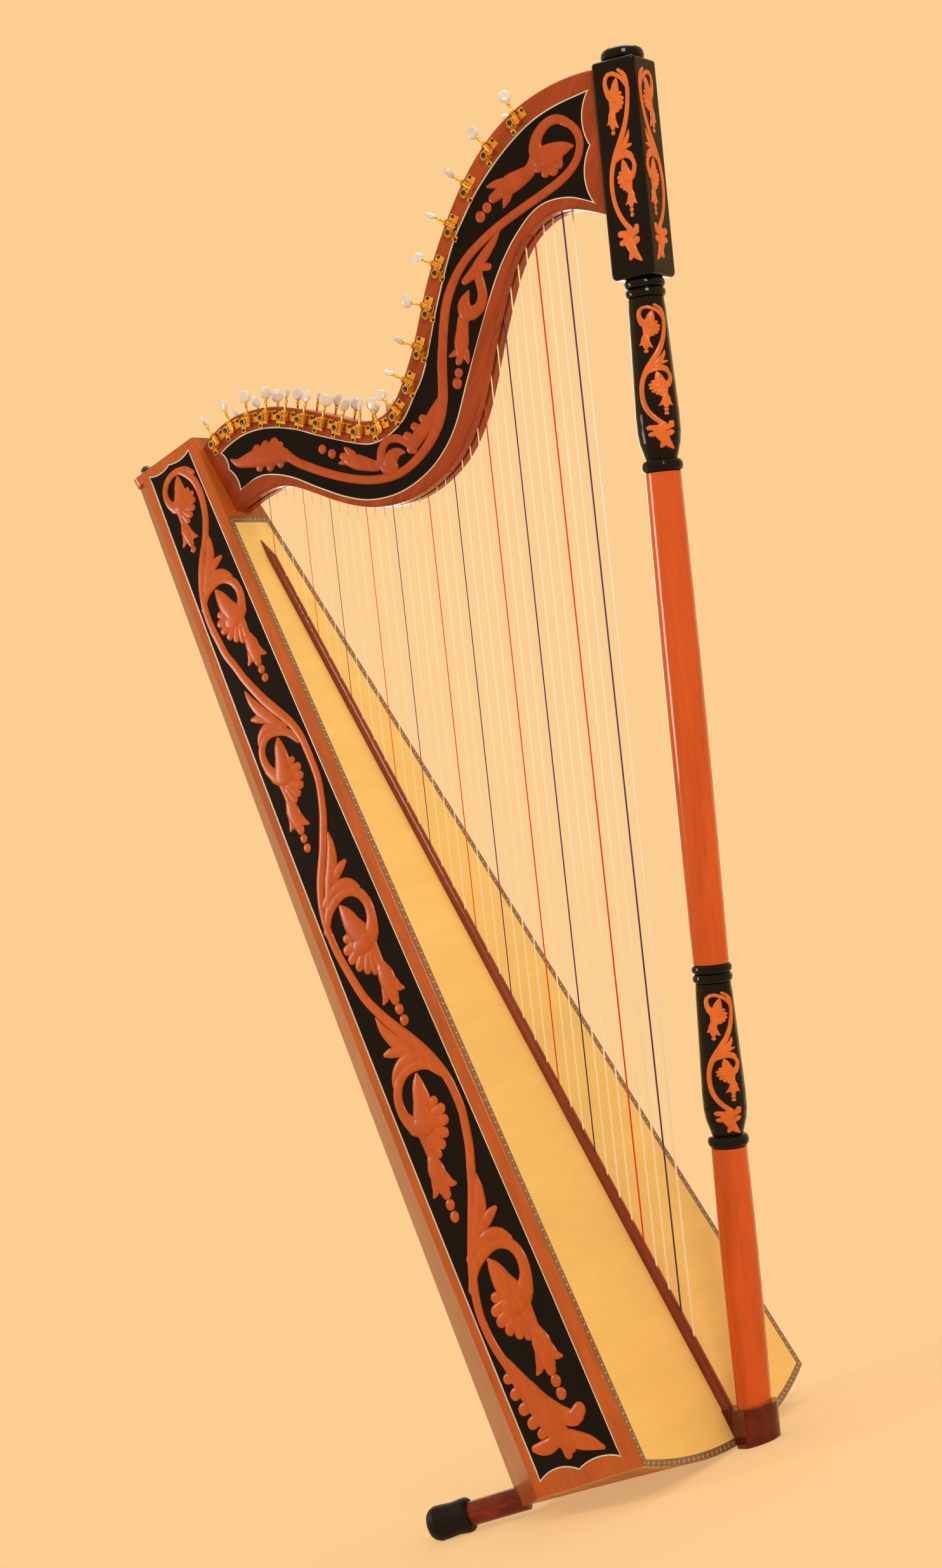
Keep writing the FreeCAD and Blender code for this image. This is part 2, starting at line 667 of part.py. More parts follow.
def machine_key(k):
    """Worm, shaft and flattened round button, in local axes."""
    tail = WORM_HALF + LUG_GAP + LUG_THICK + 0.8
    stem = BUTTON_CENTRE - BUTTON_RADIUS + 1
    profile = [(-tail, KEY_RADIUS), (-WORM_HALF, KEY_RADIUS), (-WORM_HALF, WORM_RADIUS),
               (WORM_HALF, WORM_RADIUS), (WORM_HALF, KEY_RADIUS), (stem - 5, KEY_RADIUS),
               (stem - 3.5, KEY_RADIUS + 0.9), (stem, KEY_RADIUS + 0.9)]
    shaft = turned(profile, V(0, SHAFT_HEIGHT, 0), V(0, 0, 1))
    half = BUTTON_THICK / 2
    middle = V(0, SHAFT_HEIGHT, BUTTON_CENTRE)
    button = Part.makeCylinder(BUTTON_RADIUS, BUTTON_THICK, middle.sub(V(0, half, 0)), ACROSS)
    button = button.makeFillet(BUTTON_ROUND, [e for e in button.Edges if len(e.Vertexes) == 1])
    button.rotate(middle, V(0, 0, 1), BUTTON_TURN * k % 180)
    return shaft.fuse(button).removeSplitter()


# Pillar
def on_pillar(distance):
    return V(PILLAR_X, 0, PILLAR_Z).add(V(PILLAR_DIR).multiply(distance))


def make_shaft(low, high, bottom, top):
    """A turned shaft with a slight swell towards the middle."""
    steps = 8
    profile = []
    for i in range(steps + 1):
        share = i / steps
        swell = SHAFT_SWELL * math.sin(math.pi * share)
        profile.append((between(low, high, share), between(bottom, top, share) + swell))
    return turned(profile, on_pillar(0), PILLAR_DIR)


def bead(middle, radius, half):
    """A rounded ring of a turned profile, as points of distance and radius."""
    points = []
    for i in range(7):
        angle = math.pi * i / 6
        points.append((middle - half * math.cos(angle), radius + half * 0.7 * math.sin(angle)))
    return points


def make_vase(ends_at):
    """A carved black stretch: a bead at its foot, a swelling body and beads at its neck."""
    low, high = ends_at
    neck = high - 22
    ring = SHAFT_RADIUS - 2.4
    profile = [(low, ring)] + bead(low + 7.5, SHAFT_RADIUS - 1.6, 7.0) + [(low + 15, ring)]
    body = neck - (low + 15)
    for share, radius in ((0.05, 20.6), (0.1, 23.2), (0.17, 24.8), (0.28, 25.0), (0.45, 24.0),
                          (0.62, 22.9), (0.8, 21.9), (0.92, 21.2), (1.0, 20.2)):
        profile.append((low + 15 + body * share, radius))
    profile += bead(neck + 6, SHAFT_RADIUS - 1.2, 5.4) + bead(neck + 16.6, SHAFT_RADIUS - 0.8, 5.2)
    profile.append((high, ring))
    return turned(profile, on_pillar(0), PILLAR_DIR)


def make_capital():
    """The square capital with rounded edges, and the low round button on its top."""
    half = CAPITAL_WIDE / 2
    high = CAPITAL_TOP - CAPITAL_BASE
    block = Part.makeBox(CAPITAL_WIDE, CAPITAL_WIDE, high, V(-half, -half, 0))
    block = block.makeFillet(CAPITAL_EDGE, [e for e in block.Edges if e.Length > high - 0.01])
    for level, radius in ((high, CAPITAL_TOP_ROUND), (0, CAPITAL_FOOT_ROUND)):
        rim = [e for e in block.Edges if all(abs(v.Z - level) < 0.01 for v in e.Vertexes)]
        block = block.makeFillet(radius, rim)
    block.Placement = FreeCAD.Placement(on_pillar(CAPITAL_BASE), FreeCAD.Rotation(ACROSS, PILLAR_ANGLE))
    button = turned([(CAPITAL_TOP - 1, FINIAL_RADIUS - 1.6), (CAPITAL_TOP + 1.2, FINIAL_RADIUS - 1.6),
                     (CAPITAL_TOP + 3, FINIAL_RADIUS - 0.3), (CAPITAL_TOP + 6, FINIAL_RADIUS),
                     (CAPITAL_TOP + 9.4, FINIAL_RADIUS - 0.5), (CAPITAL_TOP + 12, FINIAL_RADIUS - 2.0),
                     (CAPITAL_TOP + 13.9, FINIAL_RADIUS - 4.6),
                     (CAPITAL_TOP + FINIAL_HIGH, FINIAL_RADIUS - 8.5)], on_pillar(0), PILLAR_DIR)
    return block.fuse(button).removeSplitter()


# Foot block, legs and rubber feet
def foot_top_side(to):
    """The space between the foot block's sloping top and a height."""
    edge = [(x, FOOT_TOP - FOOT_TOP_SLOPE * x) for x in (-60.0, 150.0)]
    corners = [V(x, -90, z) for x, z in edge + [(150.0, to), (-60.0, to)]]
    return prism(corners, V(0, 180, 0))


def make_foot_block():
    """The block under the pillar: a round nose that drops to a narrow root at the soundboard."""
    beside = V(PILLAR_DIR.z, 0, -PILLAR_DIR.x)

    def at(v, y):
        return on_pillar(-140).add(V(beside).multiply(v)).add(V(0, y, 0))
    waist, root = FOOT_WAIST, FOOT_ROOT
    corners = [at(0, FOOT_NOSE), at(-waist[0], waist[1]), at(-root[0], root[1]), at(-root[0], -root[1]),
               at(-waist[0], -waist[1]), at(0, -FOOT_NOSE)]
    nose = Part.Arc(at(0, -FOOT_NOSE), at(FOOT_NOSE, 0), at(0, FOOT_NOSE)).toShape()
    outline = Part.Wire(Part.makePolygon(corners).Edges + [nose])
    block = Part.Face(outline).extrude(V(PILLAR_DIR).multiply(200))
    block = block.cut(Part.makeBox(200, 200, 400, V(-200, -100, -250)))
    above = foot_top_side(200)
    below = prism([V(x, -60, z) for x, z in ((-30, floor_height(-30)), (120, floor_height(120)),
                                            (120, -200), (-30, -200))], V(0, 120, 0))
    toe = FOOT_FLAT * math.cos(math.radians(LEAN))
    nose = prism([V(x, -60, z) for x, z in ((toe, floor_height(toe)), (FOOT_DEPTH + 9, -24),
                                           (FOOT_DEPTH + 9, -120), (toe, -120))], V(0, 120, 0))
    return block.cut(above).cut(below).cut(nose)


def leg_axis(x):
    """Height of the leg's axis: it runs level, a cap's radius over the floor."""
    return floor_height(x) + (CAP_RADIUS - CAP_FLAT) / math.cos(math.radians(LEAN))


def leg_point(x):
    """A place on the leg's axis, which splays outwards to its tip."""
    return V(x, LEG_TIP_Y - (x - LEG_TIP_X) * math.tan(math.radians(LEG_SPLAY)), leg_axis(x))


def make_leg():
    """A round leg let into the box's lower back corner."""
    start = leg_point(LEG_ROOT_X)
    along = leg_point(LEG_TIP_X).sub(start)
    return turned([(0, LEG_ROOT_RADIUS), (along.Length, LEG_TIP_RADIUS)], start, along)


def make_cap():
    """A waisted rubber cap on the leg's end, flat where it stands."""
    end = leg_point(LEG_TIP_X)
    back = leg_point(LEG_TIP_X - 1).sub(end).normalize()
    start = end.sub(V(back).multiply(CAP_LONG - 22))
    r = CAP_RADIUS
    profile = [(0, r - 2.5), (2.5, r - 0.6), (6, r), (20, r - CAP_WAIST), (34, r - 0.4), (42, r),
               (48, r - 2.2), (52, r - 6.0), (CAP_LONG, r - 11.0)]
    cap = turned(profile, start, back)
    below = prism([V(x, 0, floor_height(x)) for x in (-500, 0)] + [V(0, 0, -300), V(-500, 0, -300)],
                  V(0, 300, 0))
    return cap.cut(LEG).cut(below)


OUTER_EDGE = curve(NECK_OUTER)
LOWER_EDGE = curve(NECK_LOWER)
MACHINE_LINE = curve([(p.x, p.z) for p in offset_points(OUTER_EDGE, MACHINE_INSET, 25, 6, 8)])
UNDER = under_base(0)
ROOM = inside()
STRING_HOLES = string_holes()
CAPITAL = make_capital()
FOOT = make_foot_block()
LEG = make_leg()
LEGS = Part.makeCompound([LEG, mirror(LEG)])
STAND = standing()


def local(shape, m):
    """A machine's piece from its local axes to the neck."""
    if m["side"] < 0:
        flipped = shape.mirror(V(0, 0, 0), V(0, 1, 0))
        x, z, c = m["along"], m["out"], m["centre"]
        return flipped.transformed(FreeCAD.Matrix(x.x, 0, z.x, c.x, 0, 1, 0, c.y,
                                                  x.z, 0, z.z, c.z, 0, 0, 0, 1), True)
    return shape.transformed(frame_of(m), True)


def group(solids):
    return solids[0] if len(solids) == 1 else Part.makeCompound(solids)


def build():
    numbers = range(1, STRING_COUNT + 1)
    machines = {k: machine(k) for k in numbers}
    plate = machine_plate()
    post = machine_post()
    bars = [nut_bar(k) for k in numbers]
    side = make_side_panel()
    cheek = make_cheek()
    cheeks = {-1: cheek, 1: mirror(cheek)}
    for s in (-1, 1):
        holes = [post_hole(machines[k]["post"], side_of(k), s) for k in numbers]
        cheeks[s] = cheeks[s].cut(Part.makeCompound(holes + bars))
    strings = {k: make_string(k) for k in numbers}
    blue = [k for k in numbers if (k - BLUE_FIRST) % OCTAVE == 0]
    red = [k for k in numbers if (k - RED_FIRST) % OCTAVE == 0]
    plain = [k for k in numbers if k not in blue and k not in red]
    cap = make_cap()
    lower_shaft = make_shaft(-SHAFT_BURY, LOWER_VASE[0], SHAFT_RADIUS - 0.6, SHAFT_RADIUS)
    lower_shaft = lower_shaft.cut(foot_top_side(-200))
    upper_shaft = make_shaft(LOWER_VASE[1], UPPER_VASE[0], SHAFT_RADIUS, SHAFT_RADIUS)
    nodes = {
        "soundboard": [make_soundboard()],
        "string_rib": [make_rib()],
        "near_side_panel": [mirror(side)],
        "far_side_panel": [side],
        "strap_knob": [make_knob()],
        "back_staves": make_back_staves(),
        "top_block": [make_top_block(), make_top_cap()],
        "base_board": [make_base_board()],
        "soundboard_braces": make_braces(),
        "neck_laminations": [cheeks[-1], make_core(), cheeks[1]],
        "nut_bars": bars,
        "natural_strings": [strings[k] for k in plain],
        "red_strings": [strings[k] for k in red],
        "blue_strings": [strings[k] for k in blue],
        "machine_frames": [local(plate, machines[k]) for k in numbers],
        "machine_screws": [local(s, machines[k]) for k in numbers for s in machine_screws()],
        "string_posts": [local(post, machines[k]) for k in numbers],
        "pillar_capital": [CAPITAL],
        "pillar_vases": [make_vase(UPPER_VASE), make_vase(LOWER_VASE)],
        "pillar_shafts": [lower_shaft, upper_shaft],
        "pillar_foot_block": [FOOT],
        "rear_legs": [LEG, mirror(LEG)],
        "rubber_feet": [cap, mirror(cap)],
    }
    for k in numbers:
        nodes["tuning_key_%02d" % k] = [local(machine_key(k), machines[k])]
    return nodes


def save(nodes):
    os.makedirs("parts", exist_ok=True)
    for name, solids in nodes.items():
        shape = group(solids).copy()
        shape.Placement = STAND.multiply(shape.Placement)
        shape.exportStep("parts/%s.step" % name)


NODES = build()
save(NODES)
for node, solids in NODES.items():
    volume = sum(s.Volume for s in solids) / 1000.0
    print("%-20s %2d solids %9.1f cm3 %s" % (node, sum(len(s.Solids) for s in solids), volume,
                                            "ok" if all(s.isValid() for s in solids) else "INVALID"))
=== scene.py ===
"""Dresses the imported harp: woods and lacquer, relief carving, inlays, tuning keys and the stage."""

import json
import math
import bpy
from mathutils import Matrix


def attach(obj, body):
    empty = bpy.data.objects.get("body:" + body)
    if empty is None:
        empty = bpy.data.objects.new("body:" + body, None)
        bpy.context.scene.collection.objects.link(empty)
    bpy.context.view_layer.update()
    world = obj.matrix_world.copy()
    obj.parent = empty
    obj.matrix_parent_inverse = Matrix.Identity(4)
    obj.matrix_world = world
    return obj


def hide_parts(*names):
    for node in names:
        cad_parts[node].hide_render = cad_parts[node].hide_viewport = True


bl_info = {
    "name": "Harp dressing",
    "version": (1, 0, 0),
    "blender": (4, 5, 0),
    "location": "3D View > Sidebar > Harp",
    "description": "Adds the carving, inlays, tuning keys, finishes and stage of a 37 string harp",
    "category": "Object",
}

import bmesh
import bpy
import numpy as np
from mathutils import Matrix, Vector

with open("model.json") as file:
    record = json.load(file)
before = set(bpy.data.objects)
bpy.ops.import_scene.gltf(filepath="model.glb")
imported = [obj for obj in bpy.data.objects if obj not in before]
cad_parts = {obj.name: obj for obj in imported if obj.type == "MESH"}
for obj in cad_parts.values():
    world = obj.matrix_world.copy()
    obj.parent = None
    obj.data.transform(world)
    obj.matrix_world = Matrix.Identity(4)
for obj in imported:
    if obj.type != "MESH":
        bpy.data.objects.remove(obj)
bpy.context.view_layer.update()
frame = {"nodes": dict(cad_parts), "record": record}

# Places are millimetres in the board's own axes: X off the soundboard, Y across, Z up the board.
LEAN = 11.0
FOOT_FLAT = 46.0
FLOOR_CLEAR = 3.0
FLOOR_CLEAR_AT = 4.5
PILLAR_LEAN = 27.0
PILLAR_START = (37.0, -8.5)
BOX_LENGTH = 1360.0
BOARD_LENGTH = 1240.0
BASE_SAG = 38.0
HALF_BASE = 198.0
HALF_TOP = 28.5
BOARD_INSET = 3.0
SIDE_DEEP = 150.0
SIDE_TAPER = 52.0
SIDE_BOW = 35.2
FIELD_DEEP = 1.0
FIELD_LIFT = 0.12
LINE_HIGH = 1.05
CARVING_SUNK = 0.3
PILLAR_CARVING_HIGH = 0.9
NECK_HALF = 17.0
CAPITAL_HALF = 27.5
STRINGS = 37
SIDES = {"near": -1, "far": 1}

# One curl of the carving, as strokes of (x, z, radius): leaf, knuckle, lobe, band, bud, body, fan,
# neck, bell and beads. The other curls are this one, turned over and stretched.
SPRAY = (
    ((-94, 590, 1.5), (-91, 574, 6), (-83, 556, 9), (-70, 538, 9), (-54, 514, 6), (-44, 498, 3)),
    ((-68, 534, 6), (-84, 541, 7), (-96, 545, 6), (-102, 546, 3.5)),
    ((-50, 520, 6), (-68, 526, 8.5), (-86, 525, 9), (-99, 518, 7), (-107, 509, 4)),
    ((-38, 492, 5), (-50, 508, 6.5), (-66, 515, 7), (-84, 516, 7), (-99, 509, 7), (-109, 497, 6.8),
     (-113, 482, 7), (-111, 467, 8), (-104, 455, 11), (-95, 448, 13)),
    ((-72, 505, 3), (-74, 499, 7), (-77, 488, 11), (-80, 474, 14), (-87, 458, 16)),
    ((-104, 452, 10), (-92, 451, 17), (-80, 449, 14)),
    ((-78, 463, 7), (-64, 468, 6.4)),
    ((-76, 455, 7.5), (-59, 456, 7.2)),
    ((-78, 446, 7.5), (-61, 443, 7.2)),
    ((-82, 439, 7.5), (-68, 430, 7.2)),
    ((-88, 436, 7.5), (-78, 420, 6.8)),
    ((-92, 432, 7.5), (-88, 412, 6)),
    ((-96, 444, 9), (-98, 425, 6.6), (-98, 406, 7)),
    ((-99, 408, 9), (-100, 399, 12.5), (-100, 386, 12.2), (-100, 375, 9.5)),
    ((-108, 388, 5.5), (-111, 377, 6), (-118, 371.5, 2.4)),
    ((-92, 388, 5.5), (-89, 377, 6), (-82, 372.5, 2.4)),
    ((-100, 378, 7), (-100, 367, 7)),
    ((-101, 354, 6.8),),
    ((-102, 339.5, 6.8),),
)
SPRAY_HOOK = (3, 4, 5, 6, 7, 8, 9, 10, 11, 12, 13, 14, 15, 16, 17)

# Where each curl lies: x' = a x + b z + c, z' = d x + e z + f, and which strokes it has.
PANEL_CURLS = (
    ((0.729, 0.007, 3.631, -0.049, 0.637, 1005.174), SPRAY_HOOK),
    ((-0.841, 0.052, -147.623, 0.025, 0.823, 755.006), None),
    ((0.814, 0.0, -4.868, -0.195, 0.874, 500.262), None),
    ((-0.988, 0.056, -176.35, -0.116, 0.994, 219.693), None),
    ((1.0, 0.0, 0.0, 0.0, 1.0, 0.0), None),
    ((-1.116, 0.083, -203.888, -0.177, 1.046, -264.816), None),
)
PANEL_STEM = (
    (-42, 1338, 4), (-34, 1330, 5), (-26, 1317, 5.2), (-22.5, 1303, 5.2), (-23, 1285, 5.2),
    (-28, 1265, 5.2), (-36, 1248, 5.3), (-46, 1233, 5.5), (-57, 1220, 6), (-68, 1205, 6),
    (-78, 1188, 5.6), (-85, 1170, 5.4), (-89, 1150, 5.3), (-89.5, 1130, 5.3), (-88, 1110, 5.3),
    (-86, 1090, 5.3), (-80, 1070, 5.4), (-75, 1050, 5.6), (-68, 1030, 6), (-60, 1010, 6.4),
    (-50, 990, 6.4), (-42, 975, 6), (-35, 960, 5.6), (-30, 940, 5.4), (-29.5, 920, 5.4),
    (-30, 900, 5.4), (-32, 880, 5.4), (-38, 860, 5.5), (-46, 840, 6), (-57, 820, 6.4),
    (-69, 800, 6.6), (-85, 778, 6.6), (-96, 760, 6), (-104, 740, 5.8), (-108, 720, 5.6),
    (-109, 700, 5.6), (-108, 680, 5.6), (-104, 650, 5.8), (-98, 620, 6), (-90, 600, 6.2),
    (-80, 580, 6.6), (-68, 560, 7), (-56, 540, 7), (-45, 520, 6.6), (-37, 500, 6.2),
    (-32, 480, 6.1), (-31, 460, 6.1), (-32, 440, 6.1), (-37, 420, 6.3), (-43, 400, 6.4),
    (-52, 380, 6.6), (-61, 360, 7), (-73, 338, 7.4), (-86, 316, 7.4), (-98, 296, 7),
    (-109, 276, 6.5), (-117, 256, 6.1), (-122, 238, 5.8), (-124.5, 220, 5.6), (-124, 200, 5.6),
    (-121, 180, 5.8), (-115, 160, 6.2), (-107, 142, 6),
)
PANEL_LEAF = (
    ((-116, 165, 7), (-109, 142, 11), (-101, 118, 15), (-92, 92, 17), (-86, 68, 14), (-79, 54, 9)),
    ((-110, 149, 7), (-123, 150, 6.8)),
    ((-106, 133, 7.5), (-122, 131, 7.6)),
    ((-102, 114, 8), (-119, 112, 7.8)),
    ((-98, 97, 8), (-115, 94, 7.8)),
    ((-95, 82, 7), (-109, 79, 6.6)),
    ((-90, 68, 8), (-104, 64, 9.4), (-117, 65, 8.6), (-126, 68, 5)),
    ((-100, 132, 8), (-89, 110, 9), (-77, 95, 9), (-65, 87, 6)),
    ((-74, 84, 8), (-58, 79, 10.4), (-48, 84, 9)),
    ((-82, 66, 10), (-64, 54, 10.5), (-51, 46, 8.4), (-38, 36.5, 3)),
    ((-84, 60, 8.5), (-86, 47, 6)),
)
# The three sprays of the neck have a shape of their own: the bass one, the middle one, the treble one.
NECK_SPRAYS = (
    ((648, 1335, 5), (642, 1347, 5.4), (632, 1355, 6), (619, 1356.5, 6.5), (605, 1352, 7.5),
     (596, 1342, 9.5), (594, 1330, 11.5)),
    ((594, 1331, 12), (604, 1325, 15), (612, 1320, 12)),
    ((637, 1314, 1.8), (630, 1318, 6.5), (620, 1322, 10), (609, 1326, 12)),
    ((598, 1324, 7), (588, 1323, 7)),
    ((602, 1319, 7), (593, 1312, 6.8)),
    ((608, 1317, 7), (602, 1307, 6.6)),
    ((614, 1317, 6), (612, 1308, 5.4)),
    ((592, 1335, 8), (577, 1327, 8.5), (562, 1328, 11), (546, 1331, 12.5), (536, 1331, 10)),
    ((540, 1338, 6.5), (531, 1343, 5.4), (521, 1347.5, 1.8)),
    ((540, 1324, 6.5), (533, 1319, 5.4), (526, 1314.5, 1.8)),
    ((536, 1331, 8), (520, 1332, 6.4)),
    ((507, 1328, 6.5),),
    ((494, 1325, 7),),
    ((505, 1295.5, 1.6), (490, 1290, 5), (470, 1284, 7), (452, 1278, 7.5), (436, 1277, 5)),
    ((460, 1279, 5.5), (471, 1271, 4.6)),
    ((464, 1282, 5), (455, 1272, 6.2), (451, 1260, 6.6), (446, 1248, 7),
     (436, 1240, 7.6), (423, 1240, 8.4)),
    ((433, 1264.5, 1.6), (427, 1261, 5.5), (419, 1255, 9.5), (417, 1246, 11.5)),
    ((409, 1242, 8), (400, 1231, 9), (392, 1221, 10.5), (386, 1213, 8.5)),
    ((386, 1215, 5), (377, 1216, 4.4), (370, 1217.5, 1.8)),
    ((391, 1209, 5), (388.5, 1202, 4.4), (387, 1196, 1.8)),
    ((386, 1211, 6), (377, 1205, 5)),
    ((369, 1194, 6),),
    ((360.5, 1185, 7),),
    ((330, 1187, 2), (318, 1178, 7), (300, 1170, 9), (281, 1166, 9.5), (264, 1160, 7)),
    ((302, 1170, 6), (297, 1180, 5.4)),
    ((287, 1169, 6), (282, 1179, 5.4)),
    ((272, 1166, 6), (267, 1176, 5.4)),
    ((266, 1156, 5), (262, 1170, 5.4), (253, 1182, 5.4), (240, 1188, 5.4), (228, 1184, 6), (220, 1174, 7),
     (220, 1163, 8.5), (228, 1157, 9.5)),
    ((253, 1162, 1.8), (246, 1167, 6), (237, 1168, 9.5), (229, 1165, 11)),
    ((222, 1170, 8), (210, 1172, 7), (200, 1181, 8.5), (189, 1192, 10), (180, 1201, 8)),
    ((184, 1199, 5.4), (174, 1203, 4.6), (166, 1206, 1.8)),
    ((188, 1204, 5.4), (185, 1211, 4.4), (183, 1217, 1.8)),
    ((182, 1202, 6.4), (175, 1210, 5)),
    ((163, 1222, 6),),
    ((154, 1235, 6),),
)
NECK_STEM = (
    (641, 1345, 4.4), (648, 1335, 5), (650, 1322, 5.2), (646, 1310, 5.2), (636, 1300, 5.3),
    (622, 1294, 5.4), (604, 1292, 5.6), (580, 1293.5, 5.6), (550, 1297, 5.6), (520, 1300, 5.6),
    (490, 1301, 5.6), (462, 1299, 5.6), (440, 1294, 5.8), (420, 1285, 6.2), (400, 1271, 6.6),
    (385, 1255, 6.6), (370, 1236, 6.6), (358, 1220, 7), (346, 1201, 7), (335, 1184, 7.4),
    (320, 1168, 7.6), (302, 1156, 7), (280, 1148, 6.4), (255, 1144, 5.8), (230, 1146, 5.6),
    (205, 1156, 5.6), (182, 1171, 5.6), (160, 1190, 5.6), (140, 1211, 5.8), (124, 1230, 6),
    (112, 1246, 6), (104, 1262, 7),
)
NECK_LEAF = (
    ((29, 1306, 1.8), (36, 1296, 6), (50, 1290, 9.5), (68, 1283, 13), (86, 1274, 15), (101, 1263, 10)),
    ((60, 1286, 7), (70, 1293, 6.6)),
    ((74, 1284, 7), (84, 1289, 7)),
    ((86, 1279, 7), (97, 1284, 7.2)),
    ((92, 1272, 7), (102, 1276, 6.4)),
    ((68, 1278, 7), (61, 1272, 5.6)),
    ((81, 1268, 7), (75, 1263, 5.6)),
    ((94, 1263, 7), (91, 1257, 5.4)),
)
PILLAR_CURLS = (
    ((0.3628, -0.0052, 33.163, -0.1663, 0.4173, 1286.8514), SPRAY_HOOK),
    ((-0.3723, 0.0342, -41.1573, -0.0025, 0.3722, 1231.5107), None),
)
PILLAR_STEM = (
    (8, 1518.5, 2), (13.5, 1514, 2.4), (16.6, 1506.6, 2.6), (17.4, 1491.2, 2.6), (14.4, 1472.1, 2.8),
    (9.3, 1455.6, 3.2), (1.8, 1439.6, 3.8), (-7, 1423, 3.4), (-12.6, 1405, 2.9),
    (-13.5, 1385, 2.8), (-9.8, 1366.5, 2.8), (-3, 1352.5, 3), (4, 1343.5, 3.4),
)
PILLAR_LEAF = (
    ((4, 1342, 4), (0, 1334, 6.5), (3, 1324, 6), (8, 1314, 4.6), (14.5, 1307, 1.5)),
    ((0, 1338, 4), (-8, 1339, 4.2)),
    ((0, 1330, 4.2), (-7.5, 1329, 3.6)),
    ((5, 1336, 4.4), (11.5, 1340, 4.2), (12.5, 1344.5, 3)),
    ((5, 1326, 4), (11, 1330, 4.2)),
    ((4, 1316, 4), (1.5, 1311, 2.6)),
)
VASES = ({"top": 1262.0, "foot": 1087.0, "neck": 1268.0}, {"top": 485.0, "foot": 317.0, "neck": 491.0})
VASE_SCROLL_TOP = 1524.0
VASE_SCROLL_LONG = 0.76
VASE_SCROLL_WIDE = 1.12
VASE_SCROLL_FACES = 30.0
VASE_SCROLL_RADIUS = 23.0
VASE_PROFILE = ((0.0, 19.0), (0.05, 20.6), (0.1, 23.2), (0.17, 24.8), (0.28, 25.0), (0.45, 24.0),
                (0.62, 22.9), (0.8, 21.9), (0.92, 21.2), (1.0, 20.2))

# Outlines of the black fields.
PANEL_FRONT = ((-12.0, 1351), (-15, 1120), (-16.6, 900), (-16.8, 700), (-18, 240), (-20.5, 18))
PANEL_TOP_END = ((-12, 1351), (-28, 1348), (-50, 1354), (-66, 1352), (-87, 1360))
PANEL_BASE_END = ((-138.6, 33), (-120, 38), (-81, 26), (-65, 29), (-20.5, 18))
PANEL_BACK_RIM = 11.0
NECK_OUTER = ((18.5, 1323), (40, 1324), (68, 1320), (100, 1306), (133, 1281), (161, 1251.5),
              (204, 1210), (226, 1196.5), (250, 1193), (274, 1196.5), (299, 1209), (330.5, 1227),
              (384.5, 1276), (440, 1320.5), (479, 1342), (512, 1356), (558, 1368), (603, 1372.5),
              (642, 1367.5), (689, 1353))
NECK_BASS_END = ((689, 1353), (669, 1338), (656.5, 1300), (637.5, 1284.5), (626, 1241))
NECK_LOWER = ((626, 1241), (603, 1267), (578, 1281.5), (555.8, 1285), (531, 1280), (502, 1269),
              (461, 1245), (379.5, 1183), (330, 1144), (291, 1126.5), (255, 1121.5), (217, 1126),
              (180, 1142), (150, 1167), (120, 1202), (98, 1230), (75, 1251), (52, 1263),
              (18.5, 1265.5))
NECK_TREBLE_END = ((18.5, 1265.5), (22.5, 1282), (18, 1298), (22, 1310), (18.5, 1323))

# Tuning machines, in their own axes: X along the neck's edge, Y off its face, Z outwards.
SHAFT_HEIGHT = 5.5
GEAR_AWAY = 9.3
GEAR_DROP = 1.0
BUTTON_CENTRE = 29.0
BUTTON_TURN = 67.0
# Turned profiles as (radius, height): a rib of the worm, the shaft and ferrule, and a post's head.
KEY_TAIL = 9.0
WORM_HALF = 5.5
WORM_RIBS = 7
WORM_RIB = ((2.0, -0.72), (2.85, -0.3), (2.85, 0.3), (2.0, 0.72))
KEY_FERRULE = ((1.5, 15.2), (1.9, 15.8), (1.7, 16.6), (2.3, 17.4), (2.35, 18.4), (1.9, 19.2),
               (2.2, 20.0), (2.35, 21.4), (0, 21.6))
BUTTON_RIM = ((0.5, 0.97), (0.75, 0.82), (0.91, 0.5))
POST_HEAD = ((0, 5.52), (3.05, 5.52), (3.05, 6.1), (2.6, 6.45), (1.0, 6.5), (0.9, 6.1), (0, 6.1))

# The stage, in metres: each lamp's name, place, size and power, then the camera's place and axes.
LAMPS = (("Left soft light", (-2.9, -1.5, 1.9), 0.9, 30),
         ("Right soft light", (2.4, -2.0, 2.3), 0.8, 44),
         ("Top soft light", (0.4, 0.6, 3.0), 1.4, 16),
         ("Back soft light", (-1.6, 2.4, 1.6), 1.4, 14))
LAMP_AIM = (0, 0, 0.75)
LENS_MM = 56.57
CAMERA_PLACE = (1.54234, -2.45886, 0.49277)
CAMERA_RIGHT = (0.76788, 0.55183, -0.32536)
CAMERA_UP = (0.33280, 0.09035, 0.93866)
CAMERA_BACK = (0.54737, -0.82905, -0.11427)
FLOOR_PLAIN = 0.25
FLOOR_FADED = 1.0
FLOOR_GLOW = 0.55
MM = 0.001


def linear(red, green, blue):
    """A display colour of 0 to 255 as the linear colour that the shaders take."""
    values = []
    for value in (red, green, blue):
        share = value / 255
        values.append(share / 12.92 if share <= 0.04045 else ((share + 0.055) / 1.055) ** 2.4)
    return tuple(values)


def colour_prop(name, description, shown):
    """A colour that the user may change, given as it is shown on the screen."""
    return bpy.props.FloatVectorProperty(name=name, description=description, subtype="COLOR", size=3,
                                         min=0.0, max=1.0, default=linear(*shown))


def length_prop(name, description, millimetres):
    """A length that the user may change."""
    return bpy.props.FloatProperty(name=name, description=description, unit="LENGTH", min=0.0,
                                   default=millimetres / 1000)


